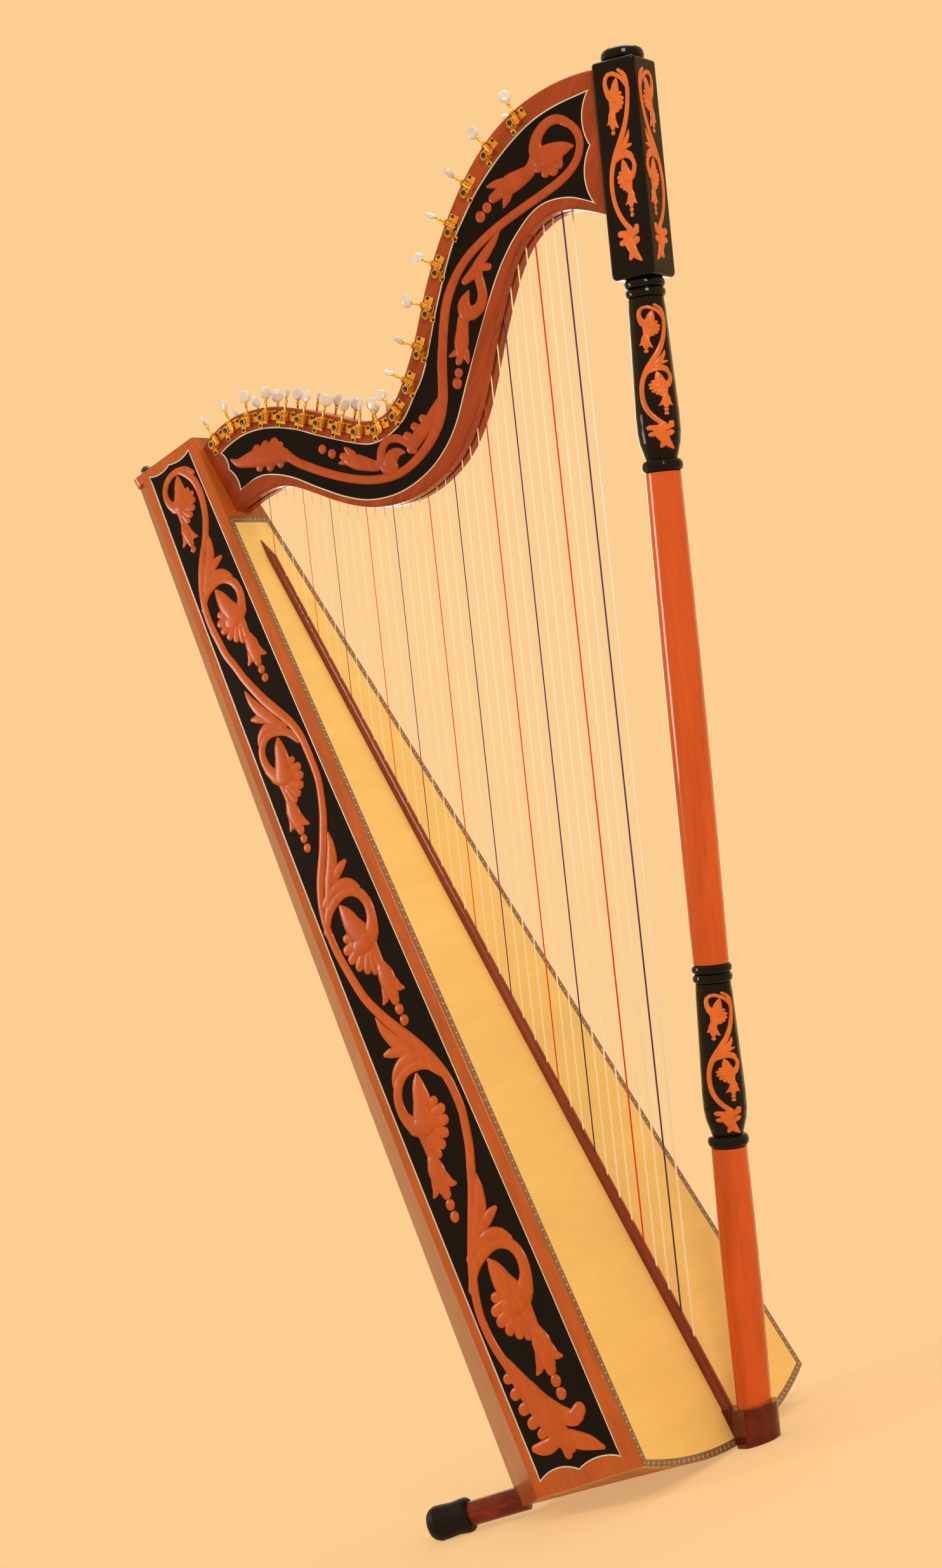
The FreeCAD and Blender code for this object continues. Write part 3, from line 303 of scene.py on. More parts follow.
class HarpSizes(bpy.types.PropertyGroup):
    """Sizes of the dressing that a user may change."""
    carving_high: length_prop("Carving height", "Height of a stroke one centimetre in radius", 3.4)
    line_wide: length_prop("Ivory line", "Width of the line round each black field", 1.9)
    purfling_wide: length_prop("Purfling", "Width of the mosaic strip round the soundboard", 8.6)
    purfling_pitch: length_prop("Purfling pitch", "Length of one figure of the mosaic", 9.6)
    button_radius: length_prop("Button radius", "Radius of a tuning button", 8.05)
    button_thick: length_prop("Button thickness", "Thickness of a tuning button", 5.5)
    floor_radius: length_prop("Floor radius", "Radius of the round floor", 4000.0)


class HarpColours(bpy.types.PropertyGroup):
    """Colours of the finishes."""
    spruce: colour_prop("Soundboard", "Pale amber soundboard", (255, 208, 116))
    panel: colour_prop("Side panels", "Lacquered side wood", (196, 94, 34))
    stave: colour_prop("Back staves", "Lighter brown staves", (172, 88, 40))
    neck: colour_prop("Neck", "Red brown neck", (168, 66, 24))
    carving: colour_prop("Carving", "Carved scrolls", (206, 92, 26))
    neck_carving: colour_prop("Neck carving", "Carved scrolls of the neck", (186, 76, 28))
    pillar_carving: colour_prop("Pillar carving", "Scrolls on the pillar", (236, 116, 44))
    lacquer: colour_prop("Black lacquer", "Black gloss fields", (14, 11, 10))
    ivory: colour_prop("Ivory", "Lines and string bars", (226, 212, 176))
    shaft: colour_prop("Pillar shafts", "Orange red shafts", (224, 92, 30))
    rib: colour_prop("String rib", "Rib that carries the strings", (142, 58, 28))
    foot: colour_prop("Foot block", "Dark swirling foot wood", (104, 26, 10))
    leg: colour_prop("Rear legs", "Dark red legs", (128, 44, 26))
    gold: colour_prop("Gold", "Tuning machines", (255, 204, 104))
    pearl: colour_prop("Pearl", "Tuning buttons", (236, 224, 208))
    backdrop: colour_prop("Backdrop", "Plain floor and background", (252, 206, 146))


# Places
def floor_shift():
    """How far the harp's own axes lie from the frame's origin, in millimetres."""
    slope = math.tan(math.radians(LEAN))
    middle = FOOT_FLAT / 2 * math.cos(math.radians(LEAN))
    low = -BASE_SAG - FLOOR_CLEAR - FLOOR_CLEAR_AT * slope - slope * middle
    return turned_back(middle, low)


def turned_back(x, z):
    """The board's own X and Z with the whole harp leaning back."""
    lean = math.radians(LEAN)
    return (x * math.cos(lean) - z * math.sin(lean), x * math.sin(lean) + z * math.cos(lean))


SHIFT = floor_shift()


def standing(points):
    """Points of the board's axes, in millimetres, as places in the frame, in metres."""
    points = np.asarray(points, float)
    x, z = turned_back(points[:, 0], points[:, 2])
    return np.column_stack((x - SHIFT[0], points[:, 1], z - SHIFT[1])) / 1000


def half_width(z):
    """Half the box's width at a height up the board."""
    return HALF_BASE + (HALF_TOP - HALF_BASE) * z / BOX_LENGTH


def side_depth(z):
    """How deep a side panel is, along its slightly bowed back edge."""
    share = z / BOX_LENGTH
    return SIDE_DEEP - SIDE_TAPER * share + SIDE_BOW * share * (1 - share)


def on_panel(side):
    """The sunk bed of a side panel."""
    def place(flat):
        out = side * (half_width(flat[:, 1]) - FIELD_DEEP + flat[:, 2])
        return np.column_stack((flat[:, 0], out, flat[:, 1]))
    return place


def on_neck(side):
    """The sunk bed of one face of the neck."""
    def place(flat):
        out = side * (NECK_HALF - FIELD_DEEP + flat[:, 2])
        return np.column_stack((flat[:, 0], out, flat[:, 1]))
    return place


def along_pillar(distance, beside, across):
    """Points of the pillar's own axes in the board's axes."""
    lean = math.radians(PILLAR_LEAN)
    x = PILLAR_START[0] + distance * math.sin(lean) + beside * math.cos(lean)
    z = PILLAR_START[1] + distance * math.cos(lean) - beside * math.sin(lean)
    return np.column_stack((x, across, z))


def on_capital(face):
    """The near face, the far face, or the front face, whose scroll mirrors the near one."""
    def place(flat):
        out = CAPITAL_HALF + flat[:, 2]
        if face == "front":
            return along_pillar(flat[:, 1], out, -flat[:, 0])
        return along_pillar(flat[:, 1], flat[:, 0], SIDES[face] * out)
    return place


def on_vase(vase):
    """Wrapped round the swelling body of a carved stretch of the pillar."""
    shares, radii = zip(*VASE_PROFILE)

    def place(flat):
        distance = vase["top"] - (VASE_SCROLL_TOP - flat[:, 1]) * VASE_SCROLL_LONG
        share = (distance - vase["foot"]) / (vase["neck"] - vase["foot"])
        radius = np.interp(share, shares, radii)
        angle = math.radians(VASE_SCROLL_FACES) + flat[:, 0] * VASE_SCROLL_WIDE / VASE_SCROLL_RADIUS
        reach = radius + flat[:, 2]
        return along_pillar(distance, reach * np.sin(angle), -reach * np.cos(angle))
    return place


# Shapes
def through(points, closed=False, step=4.0):
    """Even steps along a smooth line through points of any number of values."""
    points = [np.asarray(p, float) for p in points]
    count = len(points)
    spans = count if closed else count - 1
    line = []
    for i in range(spans):
        if closed:
            a, b, c, d = (points[(i + j) % count] for j in (-1, 0, 1, 2))
        else:
            b, c = points[i], points[i + 1]
            a = points[i - 1] if i else 2 * b - c
            d = points[i + 2] if i + 2 < count else 2 * c - b
        steps = max(1, int(np.linalg.norm((c - b)[:2]) / step))
        for k in range(steps):
            t = k / steps
            line.append(0.5 * (2 * b + (c - a) * t + (2 * a - 5 * b + 4 * c - d) * t * t
                               + (3 * b - a - 3 * c + d) * t ** 3))
    if not closed:
        line.append(points[-1])
    return line


def arc(start, middle, end, step=3.0):
    """Points of the circle through three points, from the first to just before the last."""
    (ax, ay), (bx, by), (cx, cy) = start, middle, end
    double = 2 * (ax * (by - cy) + bx * (cy - ay) + cx * (ay - by))
    a, b, c = ax * ax + ay * ay, bx * bx + by * by, cx * cx + cy * cy
    x = (a * (by - cy) + b * (cy - ay) + c * (ay - by)) / double
    y = (a * (cx - bx) + b * (ax - cx) + c * (bx - ax)) / double
    radius = math.dist((x, y), start)
    first, half, last = (math.atan2(q[1] - y, q[0] - x) for q in (start, middle, end))
    full = 2 * math.pi
    sweep = (last - first) % full
    if (half - first) % full > sweep:
        sweep -= full
    count = max(3, int(abs(sweep) * radius / step))
    angles = [first + sweep * i / count for i in range(count)]
    return [(x + radius * math.cos(angle), y + radius * math.sin(angle)) for angle in angles]


def scallops(points):
    """Two arcs that meet in a point, as at the ends of the black fields."""
    return arc(*points[:3]) + arc(*points[2:])


def rounded_stroke(points):
    """A stroke's line with a round end put on both its ends."""
    if len(points) == 1:
        x, z, radius = points[0]
        points = ((x, z + 0.1, radius), (x, z - 0.1, radius))
    line = through(points)
    ends = []
    for tip, inner in ((line[0], line[1]), (line[-1], line[-2])):
        away = (tip - inner)[:2]
        away = away / (np.linalg.norm(away) or 1.0)
        end = []
        for angle in (30, 55, 75, 88):
            reach = tip[2] * math.sin(math.radians(angle))
            radius = tip[2] * math.cos(math.radians(angle))
            end.append(np.array([*(tip[:2] + away * reach), radius]))
        ends.append(end)
    return ends[0][::-1] + line + ends[1]


def select_only(piece):
    """Selects one piece and makes it the active one."""
    bpy.ops.object.select_all(action="DESELECT")
    piece.select_set(True)
    bpy.context.view_layer.objects.active = piece


def flat_curve(name, lines, closed=False, filled=False, sides=4):
    """Lines of (x, z, radius) as one curve object, turned into a mesh."""
    shape = bpy.data.curves.new(name, "CURVE")
    shape.dimensions = "2D" if filled else "3D"
    if filled:
        shape.fill_mode = "BOTH"
        shape.extrude = 0.05
    else:
        shape.bevel_depth = 1.0
        shape.bevel_resolution = sides
        shape.use_fill_caps = True
    for line in lines:
        spline = shape.splines.new("POLY")
        spline.points.add(len(line) - 1)
        for point, at in zip(spline.points, line):
            point.co = (at[0], at[1], 0.0, 1.0)
            point.radius = at[2]
        spline.use_cyclic_u = closed
    piece = bpy.data.objects.new(name, shape)
    bpy.context.collection.objects.link(piece)
    select_only(piece)
    bpy.ops.object.convert(target="MESH")
    return bpy.context.view_layer.objects.active


def lay_on(piece, surface, lift):
    """Moves a flat mesh onto a surface, with its heights changed by a rule first."""
    mesh = piece.data
    flat = np.empty(len(mesh.vertices) * 3)
    mesh.vertices.foreach_get("co", flat)
    flat = flat.reshape(-1, 3)
    flat[:, 2] = lift(flat[:, 2])
    heights = flat[:, 2].copy()
    mesh.vertices.foreach_set("co", standing(surface(flat)).astype(np.float32).ravel())
    relief = mesh.attributes.new("relief", "FLOAT", "POINT")
    relief.data.foreach_set("value", heights.astype(np.float32))
    mesh.update()


def outwards(piece):
    """Merges doubled points and turns every face outwards."""
    select_only(piece)
    bpy.ops.object.mode_set(mode="EDIT")
    bpy.ops.mesh.select_all(action="SELECT")
    bpy.ops.mesh.remove_doubles(threshold=1e-6)
    bpy.ops.mesh.normals_make_consistent(inside=False)
    bpy.ops.object.mode_set(mode="OBJECT")


def finish_piece(piece, material, body, smooth=None):
    """Gives a piece its finish and its body."""
    piece.data.materials.clear()
    piece.data.materials.append(material)
    if smooth is not None:
        select_only(piece)
        bpy.ops.object.shade_smooth_by_angle(angle=math.radians(smooth))
    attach(piece, body)


def relief(name, strokes, surface, material, slot, high):
    """Carved strokes in relief on a surface."""
    piece = flat_curve(name, [rounded_stroke(stroke) for stroke in strokes])
    lay_on(piece, surface, lambda w: np.where(w > 0.01, high * np.sqrt(np.maximum(w, 0)), -CARVING_SUNK))
    outwards(piece)
    finish_piece(piece, material, "harp", smooth=55)
    return piece


def field(name, outline, surface, material):
    """A thin black plate in the sunk bed of a panel."""
    piece = flat_curve(name, [[(x, z, 1.0) for x, z in outline]], closed=True, filled=True)
    lay_on(piece, surface, lambda w: FIELD_LIFT + w)
    outwards(piece)
    finish_piece(piece, material, "harp")
    return piece


def line_round(name, outline, surface, material, wide):
    """The ivory line that fills the bed's edge, level with the rim."""
    half = wide / 2
    piece = flat_curve(name, [[(x, z, half) for x, z in outline]], closed=True, sides=2)
    lay_on(piece, surface,
           lambda w: np.where(w > 0.01, LINE_HIGH * np.sqrt(np.maximum(w, 0) / half), 0.0))
    outwards(piece)
    finish_piece(piece, material, "harp", smooth=50)
    return piece


def curl(places, strokes):
    """The strokes of one spray, moved by the six numbers of its place."""
    a, b, c, d, e, f = places
    size = math.sqrt(abs(a * e - b * d))
    moved = []
    for stroke in strokes:
        moved.append([(a * x + b * z + c, d * x + e * z + f, r * size) for x, z, r in stroke])
    return moved


def scroll(curls, stem, leaves):
    """A whole scroll: its stem, its curls and its leaves."""
    strokes = [stem] + list(leaves)
    for places, which in curls:
        chosen = SPRAY if which is None else [SPRAY[i] for i in which]
        strokes += curl(places, chosen)
    return strokes


def panel_outline():
    """The outline of a side panel's black field, smooth along its long sides."""
    back = [(PANEL_BACK_RIM - side_depth(z), z) for z in np.linspace(BOX_LENGTH, PANEL_BASE_END[0][1], 9)]
    outline = scallops(PANEL_TOP_END)
    outline += through(back, step=12)[:-1]
    outline += scallops(PANEL_BASE_END)
    outline += through(PANEL_FRONT[::-1], step=12)[:-1]
    return [(p[0], p[1]) for p in outline]


def neck_outline():
    """The outline of the neck's black field."""
    outline = through(NECK_OUTER)[:-1] + scallops(NECK_BASS_END)
    outline += through(NECK_LOWER)[:-1] + scallops(NECK_TREBLE_END)
    return [(p[0], p[1]) for p in outline]


def drawn_in(outline, distance):
    """An outline moved towards its inside, for the middle of the ivory line."""
    points = np.array(outline)
    x, z = points.T
    area = 0.5 * np.sum(x * np.roll(z, -1) - np.roll(x, -1) * z)
    turn = 1.0 if area > 0 else -1.0
    before = points - np.roll(points, 1, axis=0)
    after = np.roll(points, -1, axis=0) - points
    before /= np.linalg.norm(before, axis=1)[:, None]
    after /= np.linalg.norm(after, axis=1)[:, None]
    along = before + after
    along /= np.linalg.norm(along, axis=1)[:, None]
    inward = np.column_stack((-along[:, 1], along[:, 0])) * turn
    return [tuple(p) for p in points + inward * distance]


def spun(name, profile, steps=24):
    """A turned piece about Z: profile is (radius, height) in millimetres."""
    profile = [(r * MM, z * MM) for r, z in profile]
    mesh = bpy.data.meshes.new(name)
    edges = [(i, i + 1) for i in range(len(profile) - 1)]
    mesh.from_pydata([(r, 0.0, z) for r, z in profile], edges, [])
    piece = bpy.data.objects.new(name, mesh)
    bpy.context.collection.objects.link(piece)
    select_only(piece)
    bpy.ops.object.mode_set(mode="EDIT")
    bpy.ops.mesh.select_all(action="SELECT")
    bpy.ops.mesh.spin(steps=steps, angle=2 * math.pi, center=(0, 0, 0), axis=(0, 0, 1))
    bpy.ops.object.mode_set(mode="OBJECT")
    outwards(piece)
    return piece


def joined(name, pieces):
    """Several pieces as one, in the order given."""
    bpy.ops.object.select_all(action="DESELECT")
    for piece in pieces:
        piece.select_set(True)
    bpy.context.view_layer.objects.active = pieces[0]
    bpy.ops.object.join()
    pieces[0].name = name
    return pieces[0]


def placed_copy(model, name, matrix):
    """A copy with its own mesh, moved into place in its vertices."""
    piece = model.copy()
    piece.data = model.data.copy()
    piece.name = name
    piece.data.name = name
    bpy.context.collection.objects.link(piece)
    piece.data.transform(matrix)
    return piece


def removed(piece):
    """Deletes a model that has been copied, and its mesh."""
    mesh = piece.data
    bpy.data.objects.remove(piece)
    bpy.data.meshes.remove(mesh)


# Shader groups and materials
def new_group(name, inputs, outputs):
    """An empty shader group with named sockets: each is (name, socket type, default or None)."""
    group = bpy.data.node_groups.new(name, "ShaderNodeTree")
    for way, sockets in (("INPUT", inputs), ("OUTPUT", outputs)):
        for label, kind, default in sockets:
            socket = group.interface.new_socket(name=label, in_out=way, socket_type=kind)
            if default is not None:
                socket.default_value = default
    return group, group.nodes.new("NodeGroupInput"), group.nodes.new("NodeGroupOutput")


def maths(tree, operation, first, second=None, clamp=False):
    """A Math node fed by sockets or numbers."""
    node = tree.nodes.new("ShaderNodeMath")
    node.operation = operation
    node.use_clamp = clamp
    for index, value in enumerate((first, second)):
        if value is None:
            continue
        if isinstance(value, (int, float)):
            node.inputs[index].default_value = value
        else:
            tree.links.new(value, node.inputs[index])
    return node.outputs[0]


def noise(tree, vector, scale, detail=3.0, rough=0.5, distortion=0.0):
    """Soft noise between 0 and 1."""
    node = tree.nodes.new("ShaderNodeTexNoise")
    for label, value in (("Scale", scale), ("Detail", detail), ("Roughness", rough),
                         ("Distortion", distortion)):
        node.inputs[label].default_value = value
    tree.links.new(vector, node.inputs["Vector"])
    return node.outputs["Fac"]


def blend(tree, share, low, high):
    """A colour between two colours, each a socket or a plain colour."""
    node = tree.nodes.new("ShaderNodeMix")
    node.data_type = "RGBA"
    if isinstance(share, (int, float)):
        node.inputs["Factor"].default_value = share
    else:
        tree.links.new(share, node.inputs["Factor"])
    for label, value in (("A", low), ("B", high)):
        socket = [s for s in node.inputs if s.name == label and s.type == "RGBA"][0]
        if isinstance(value, bpy.types.NodeSocket):
            tree.links.new(value, socket)
        else:
            socket.default_value = (*value[:3], 1.0)
    return [s for s in node.outputs if s.type == "RGBA"][0]


def wood_grain_group():
    """Streaks, pores and broad patches of wood between a dark and a light colour."""
    group, inside, out = new_group("Wood grain", (
        ("Vector", "NodeSocketVector", None), ("Light", "NodeSocketColor", (0.5, 0.2, 0.05, 1)),
        ("Dark", "NodeSocketColor", (0.2, 0.06, 0.02, 1)), ("Contrast", "NodeSocketFloat", 1.0)),
        (("Color", "NodeSocketColor", None), ("Height", "NodeSocketFloat", None)))
    vector = inside.outputs["Vector"]
    streaks = maths(group, "SUBTRACT", noise(group, vector, 1.0, 5.0, 0.6, 0.5), 0.5)
    pores = maths(group, "SUBTRACT", noise(group, vector, 5.5, 3.0, 0.6), 0.5)
    patches = maths(group, "SUBTRACT", noise(group, vector, 0.22, 2.0, 0.5, 0.4), 0.5)
    total = maths(group, "ADD", maths(group, "MULTIPLY", streaks, 2.2),
                  maths(group, "ADD", maths(group, "MULTIPLY", pores, 0.9),
                        maths(group, "MULTIPLY", patches, 1.6)))
    total = maths(group, "MULTIPLY", total, inside.outputs["Contrast"])
    share = maths(group, "ADD", total, 0.55, True)
    colour = blend(group, share, inside.outputs["Dark"], inside.outputs["Light"])
    group.links.new(colour, out.inputs["Color"])
    group.links.new(share, out.inputs["Height"])
    return group


def gloss_marks_group():
    """A roughness that varies softly, with fine rubbed marks."""
    group, inside, out = new_group("Gloss marks", (
        ("Vector", "NodeSocketVector", None), ("Low", "NodeSocketFloat", 0.15),
        ("High", "NodeSocketFloat", 0.3), ("Scale", "NodeSocketFloat", 30.0)),
        (("Roughness", "NodeSocketFloat", None),))
    scaled = group.nodes.new("ShaderNodeVectorMath")
    scaled.operation = "SCALE"
    group.links.new(inside.outputs["Vector"], scaled.inputs[0])
    group.links.new(inside.outputs["Scale"], scaled.inputs["Scale"])
    soft = noise(group, scaled.outputs[0], 1.0, 2.0)
    fine = noise(group, scaled.outputs[0], 9.0, 4.0, 0.7)
    share = maths(group, "ADD", maths(group, "MULTIPLY", soft, 0.7),
                  maths(group, "MULTIPLY", fine, 0.3), True)
    span = maths(group, "SUBTRACT", inside.outputs["High"], inside.outputs["Low"])
    group.links.new(maths(group, "ADD", inside.outputs["Low"], maths(group, "MULTIPLY", share, span)),
                    out.inputs["Roughness"])
    return group


GROUPS = {}


def group_node(tree, name, vector, **values):
    """Places a shared group in a material with its own values."""
    if name not in GROUPS:
        GROUPS[name] = {"Wood grain": wood_grain_group, "Gloss marks": gloss_marks_group}[name]()
    node = tree.nodes.new("ShaderNodeGroup")
    node.node_tree = GROUPS[name]
    tree.links.new(vector, node.inputs["Vector"])
    for label, value in values.items():
        node.inputs[label].default_value = value if isinstance(value, (int, float)) else (*value, 1.0)
    return node


def start_material(name):
    """A new material with its tree, its shader and the object's own coordinates."""
    material = bpy.data.materials.new(name)
    material.use_nodes = True
    tree = material.node_tree
    shader = next(n for n in tree.nodes if n.type == "BSDF_PRINCIPLED")
    where = tree.nodes.new("ShaderNodeTexCoord")
    return material, tree, shader, where.outputs["Object"]


def shaped(tree, vector, size, turn=0.0):
    """Object coordinates turned into a piece's own lie and divided by the size of its figure."""
    node = tree.nodes.new("ShaderNodeMapping")
    node.vector_type = "TEXTURE"
    node.inputs["Rotation"].default_value = (0.0, math.radians(turn), 0.0)
    node.inputs["Scale"].default_value = size
    tree.links.new(vector, node.inputs["Vector"])
    return node.outputs["Vector"]


def bumped(tree, shader, height, strength, distance=0.0005):
    """Gives a shader fine relief from a height."""
    node = tree.nodes.new("ShaderNodeBump")
    node.inputs["Strength"].default_value = strength
    node.inputs["Distance"].default_value = distance
    tree.links.new(height, node.inputs["Height"])
    tree.links.new(node.outputs["Normal"], shader.inputs["Normal"])


def glossed(tree, shader, vector, low, high, scale=30.0):
    """Gives a shader a roughness between two values."""
    node = group_node(tree, "Gloss marks", vector, Low=low, High=high, Scale=scale)
    tree.links.new(node.outputs["Roughness"], shader.inputs["Roughness"])


def coated(shader, coat, rough=0.03, specular=0.5):
    """Sets how strongly a shader and its clear coat shine."""
    shader.inputs["Coat Weight"].default_value = coat
    shader.inputs["Coat Roughness"].default_value = rough
    shader.inputs["Specular IOR Level"].default_value = specular


def darker(colour, share):
    """A colour times a share of its light."""
    return tuple(value * share for value in colour)


WOOD_COAT = 0.35


def wood(name, light, dark, size, turn=-LEAN, contrast=0.8, rough=(0.16, 0.28), coat=0.5, bump=0.06):
    """A lacquered wood: size is the grain's size in metres across, across and along."""
    material, tree, shader, place = start_material(name)
    grain = group_node(tree, "Wood grain", shaped(tree, place, size, turn), Light=light, Dark=dark,
                       Contrast=contrast)
    tree.links.new(grain.outputs["Color"], shader.inputs["Base Color"])
    bumped(tree, shader, grain.outputs["Height"], bump)
    glossed(tree, shader, place, *rough)
    coated(shader, coat * WOOD_COAT, 0.06, 0.22)
    return material


def plain(name, colour, second, size, rough, coat=0.0, metallic=0.0, bump=0.04, contrast=1.0,
          specular=0.5):
    """A finish of one stuff whose colour drifts a little: metal, rubber, bone, nylon or lacquer."""
    material, tree, shader, place = start_material(name)
    vector = shaped(tree, place, (size, size, size))
    drift = noise(tree, vector, 1.0, 4.0, 0.6)
    spread = maths(tree, "MULTIPLY", maths(tree, "SUBTRACT", drift, 0.5), 2.2 * contrast)
    share = maths(tree, "ADD", spread, 0.5, True)
    tree.links.new(blend(tree, share, second, colour), shader.inputs["Base Color"])
    bumped(tree, shader, noise(tree, vector, 6.0, 3.0), bump, 0.0003)
    glossed(tree, shader, place, *rough, 120.0)
    shader.inputs["Metallic"].default_value = metallic
    coated(shader, coat, 0.05, specular)
    return material


def carved(name, colour, deep):
    """The carved scrolls, with a fine grain and painted shade: darker in the creases, lighter on the
    rounds.
    """
    material, tree, shader, place = start_material(name)
    grain = group_node(tree, "Wood grain", shaped(tree, place, (0.006, 0.006, 0.05), -LEAN), Light=colour,
                       Dark=darker(colour, 0.62), Contrast=0.55)
    height = tree.nodes.new("ShaderNodeAttribute")
    height.attribute_name = "relief"
    # Painted shade: the relief height is a mask that mixes the creases and the strokes' sunk edges towards
    # a colour far darker than the wood, standing in for the shade that falls there.
    unshaded_share = maths(tree, "DIVIDE", height.outputs["Fac"], deep, True)
    low = blend(tree, 0.55, grain.outputs["Color"], darker(colour, 0.3))
    tree.links.new(blend(tree, unshaded_share, low, grain.outputs["Color"]), shader.inputs["Base Color"])
    bumped(tree, shader, grain.outputs["Height"], 0.12)
    glossed(tree, shader, place, 0.22, 0.36, 60.0)
    coated(shader, 0.12, 0.1, 0.25)
    return material


def mosaic(name, pitch):
    """The purfling: red figures with dark outlines on olive, between dark edge lines."""
    material, tree, shader, place = start_material(name)
    strip = tree.nodes.new("ShaderNodeUVMap")
    strip.uv_map = "strip"
    parts = tree.nodes.new("ShaderNodeSeparateXYZ")
    tree.links.new(strip.outputs["UV"], parts.inputs[0])
    along, across = parts.outputs["X"], parts.outputs["Y"]
    turn = maths(tree, "FRACT", maths(tree, "DIVIDE", along, pitch * 1000))
    beside = maths(tree, "ABSOLUTE", maths(tree, "SUBTRACT", turn, 0.5))
    off = maths(tree, "ABSOLUTE", maths(tree, "SUBTRACT", across, 0.5))
    reach = maths(tree, "ADD", maths(tree, "MULTIPLY", beside, 1.05), maths(tree, "MULTIPLY", off, 1.15))
    ends = maths(tree, "ADD", maths(tree, "MULTIPLY", maths(tree, "SUBTRACT", 0.5, beside), 1.4), off)
    red = maths(tree, "LESS_THAN", reach, 0.27)
    dark = maths(tree, "LESS_THAN", reach, 0.40)
    dot = maths(tree, "LESS_THAN", ends, 0.16)
    edge = maths(tree, "GREATER_THAN", off, 0.40)
    ground = blend(tree, noise(tree, shaped(tree, place, (0.004, 0.004, 0.004)), 1.0),
                   linear(150, 122, 84), linear(104, 96, 66))
    colour = blend(tree, dark, ground, linear(38, 26, 20))
    colour = blend(tree, red, colour, linear(205, 82, 48))
    colour = blend(tree, dot, colour, linear(216, 196, 160))
    colour = blend(tree, edge, colour, linear(92, 66, 44))
    tree.links.new(colour, shader.inputs["Base Color"])
    glossed(tree, shader, place, 0.25, 0.4)
    coated(shader, 0.4)
    return material


def string_stuff(name, colour, second):
    """A nylon string: glossy, with faint variation along it."""
    material, tree, shader, place = start_material(name)
    drift = noise(tree, shaped(tree, place, (0.02, 0.02, 0.08), 15.0), 1.0, 3.0)
    tree.links.new(blend(tree, drift, second, colour), shader.inputs["Base Color"])
    glossed(tree, shader, place, 0.2, 0.32, 80.0)
    coated(shader, 0.3)
    return material


MATERIALS = {}


def make_materials(colours):
    """Makes every finish, from the colours that the user may change."""
    c = colours
    MATERIALS.update({
        "spruce": wood("Soundboard spruce", c.spruce, darker(c.spruce, 0.8), (0.2, 0.3, 0.045),
                       contrast=0.45, rough=(0.3, 0.42), coat=0.25, bump=0.03),
        "panel": wood("Side wood", c.panel, darker(c.panel, 0.62), (0.012, 0.012, 0.11), contrast=0.7),
        "stave": wood("Stave wood", c.stave, darker(c.stave, 0.6), (0.01, 0.01, 0.14), contrast=0.8,
                      coat=0.3, rough=(0.25, 0.36)),
        "inner": wood("Inner wood", linear(196, 140, 84), linear(150, 98, 54), (0.02, 0.1, 0.02),
                      contrast=0.7, coat=0.0, rough=(0.5, 0.7)),
        "neck": wood("Neck wood", c.neck, darker(c.neck, 0.45), (0.12, 0.01, 0.012), turn=-40,
                     contrast=0.7),
        "rib": wood("Rib wood", c.rib, darker(c.rib, 0.55), (0.006, 0.006, 0.09), contrast=0.8),
        "shaft": wood("Shaft wood", c.shaft, darker(c.shaft, 0.6), (0.012, 0.012, 0.12),
                      turn=PILLAR_LEAN - LEAN, contrast=0.6, rough=(0.12, 0.2), coat=0.8),
        "foot": wood("Foot wood", c.foot, darker(c.foot, 0.35), (0.02, 0.012, 0.03), contrast=1.2,
                     rough=(0.1, 0.18), coat=0.8),
        "leg": wood("Leg wood", c.leg, darker(c.leg, 0.4), (0.06, 0.006, 0.006), turn=0, contrast=1.1,
                    rough=(0.25, 0.4), coat=0.2),
        "lacquer": plain("Black lacquer", c.lacquer, darker(c.lacquer, 0.4), 0.05, (0.06, 0.14), coat=0.12,
                         specular=0.12),
        "field": plain("Black field", c.lacquer, darker(c.lacquer, 0.4), 0.03, (0.12, 0.24), coat=0.06,
                       specular=0.1),
        "carving": carved("Panel carving", c.carving, 1.6),
        "neck_carving": carved("Neck carving", c.neck_carving, 1.6),
        "pillar_carving": carved("Pillar carving", c.pillar_carving, 1.2),
        "ivory": plain("Ivory", c.ivory, darker(c.ivory, 0.78), 0.012, (0.25, 0.4), coat=0.2),
        "bone": plain("Bone bars", c.ivory, linear(190, 160, 112), 0.01, (0.3, 0.5)),
        "gold": plain("Gold plate", c.gold, darker(c.gold, 0.55), 0.004, (0.16, 0.32), metallic=1.0),
        "gold_dark": plain("Gold gear", darker(c.gold, 0.85), darker(c.gold, 0.4), 0.003, (0.2, 0.36),
                           metallic=1.0),
        "pearl": plain("Pearl buttons", c.pearl, linear(206, 184, 168), 0.012, (0.2, 0.32), coat=0.3,
                       contrast=0.7),
        "black_steel": plain("Black steel", linear(26, 22, 20), linear(8, 7, 7), 0.002, (0.25, 0.4)),
        "rubber": plain("Foot rubber", linear(24, 21, 20), linear(10, 9, 9), 0.004, (0.4, 0.6), bump=0.15,
                        specular=0.15),
        "knob": plain("Black knob", linear(30, 24, 22), linear(12, 10, 9), 0.006, (0.1, 0.2), coat=0.5),
        "natural": string_stuff("Natural nylon", linear(255, 248, 224), linear(244, 226, 188)),
        "red": string_stuff("Red nylon", linear(236, 26, 16), linear(204, 16, 12)),
        "blue": string_stuff("Blue nylon", linear(82, 44, 112), linear(46, 22, 74)),
        "mosaic": mosaic("Purfling mosaic", bpy.context.scene.harp_sizes.purfling_pitch),
    })


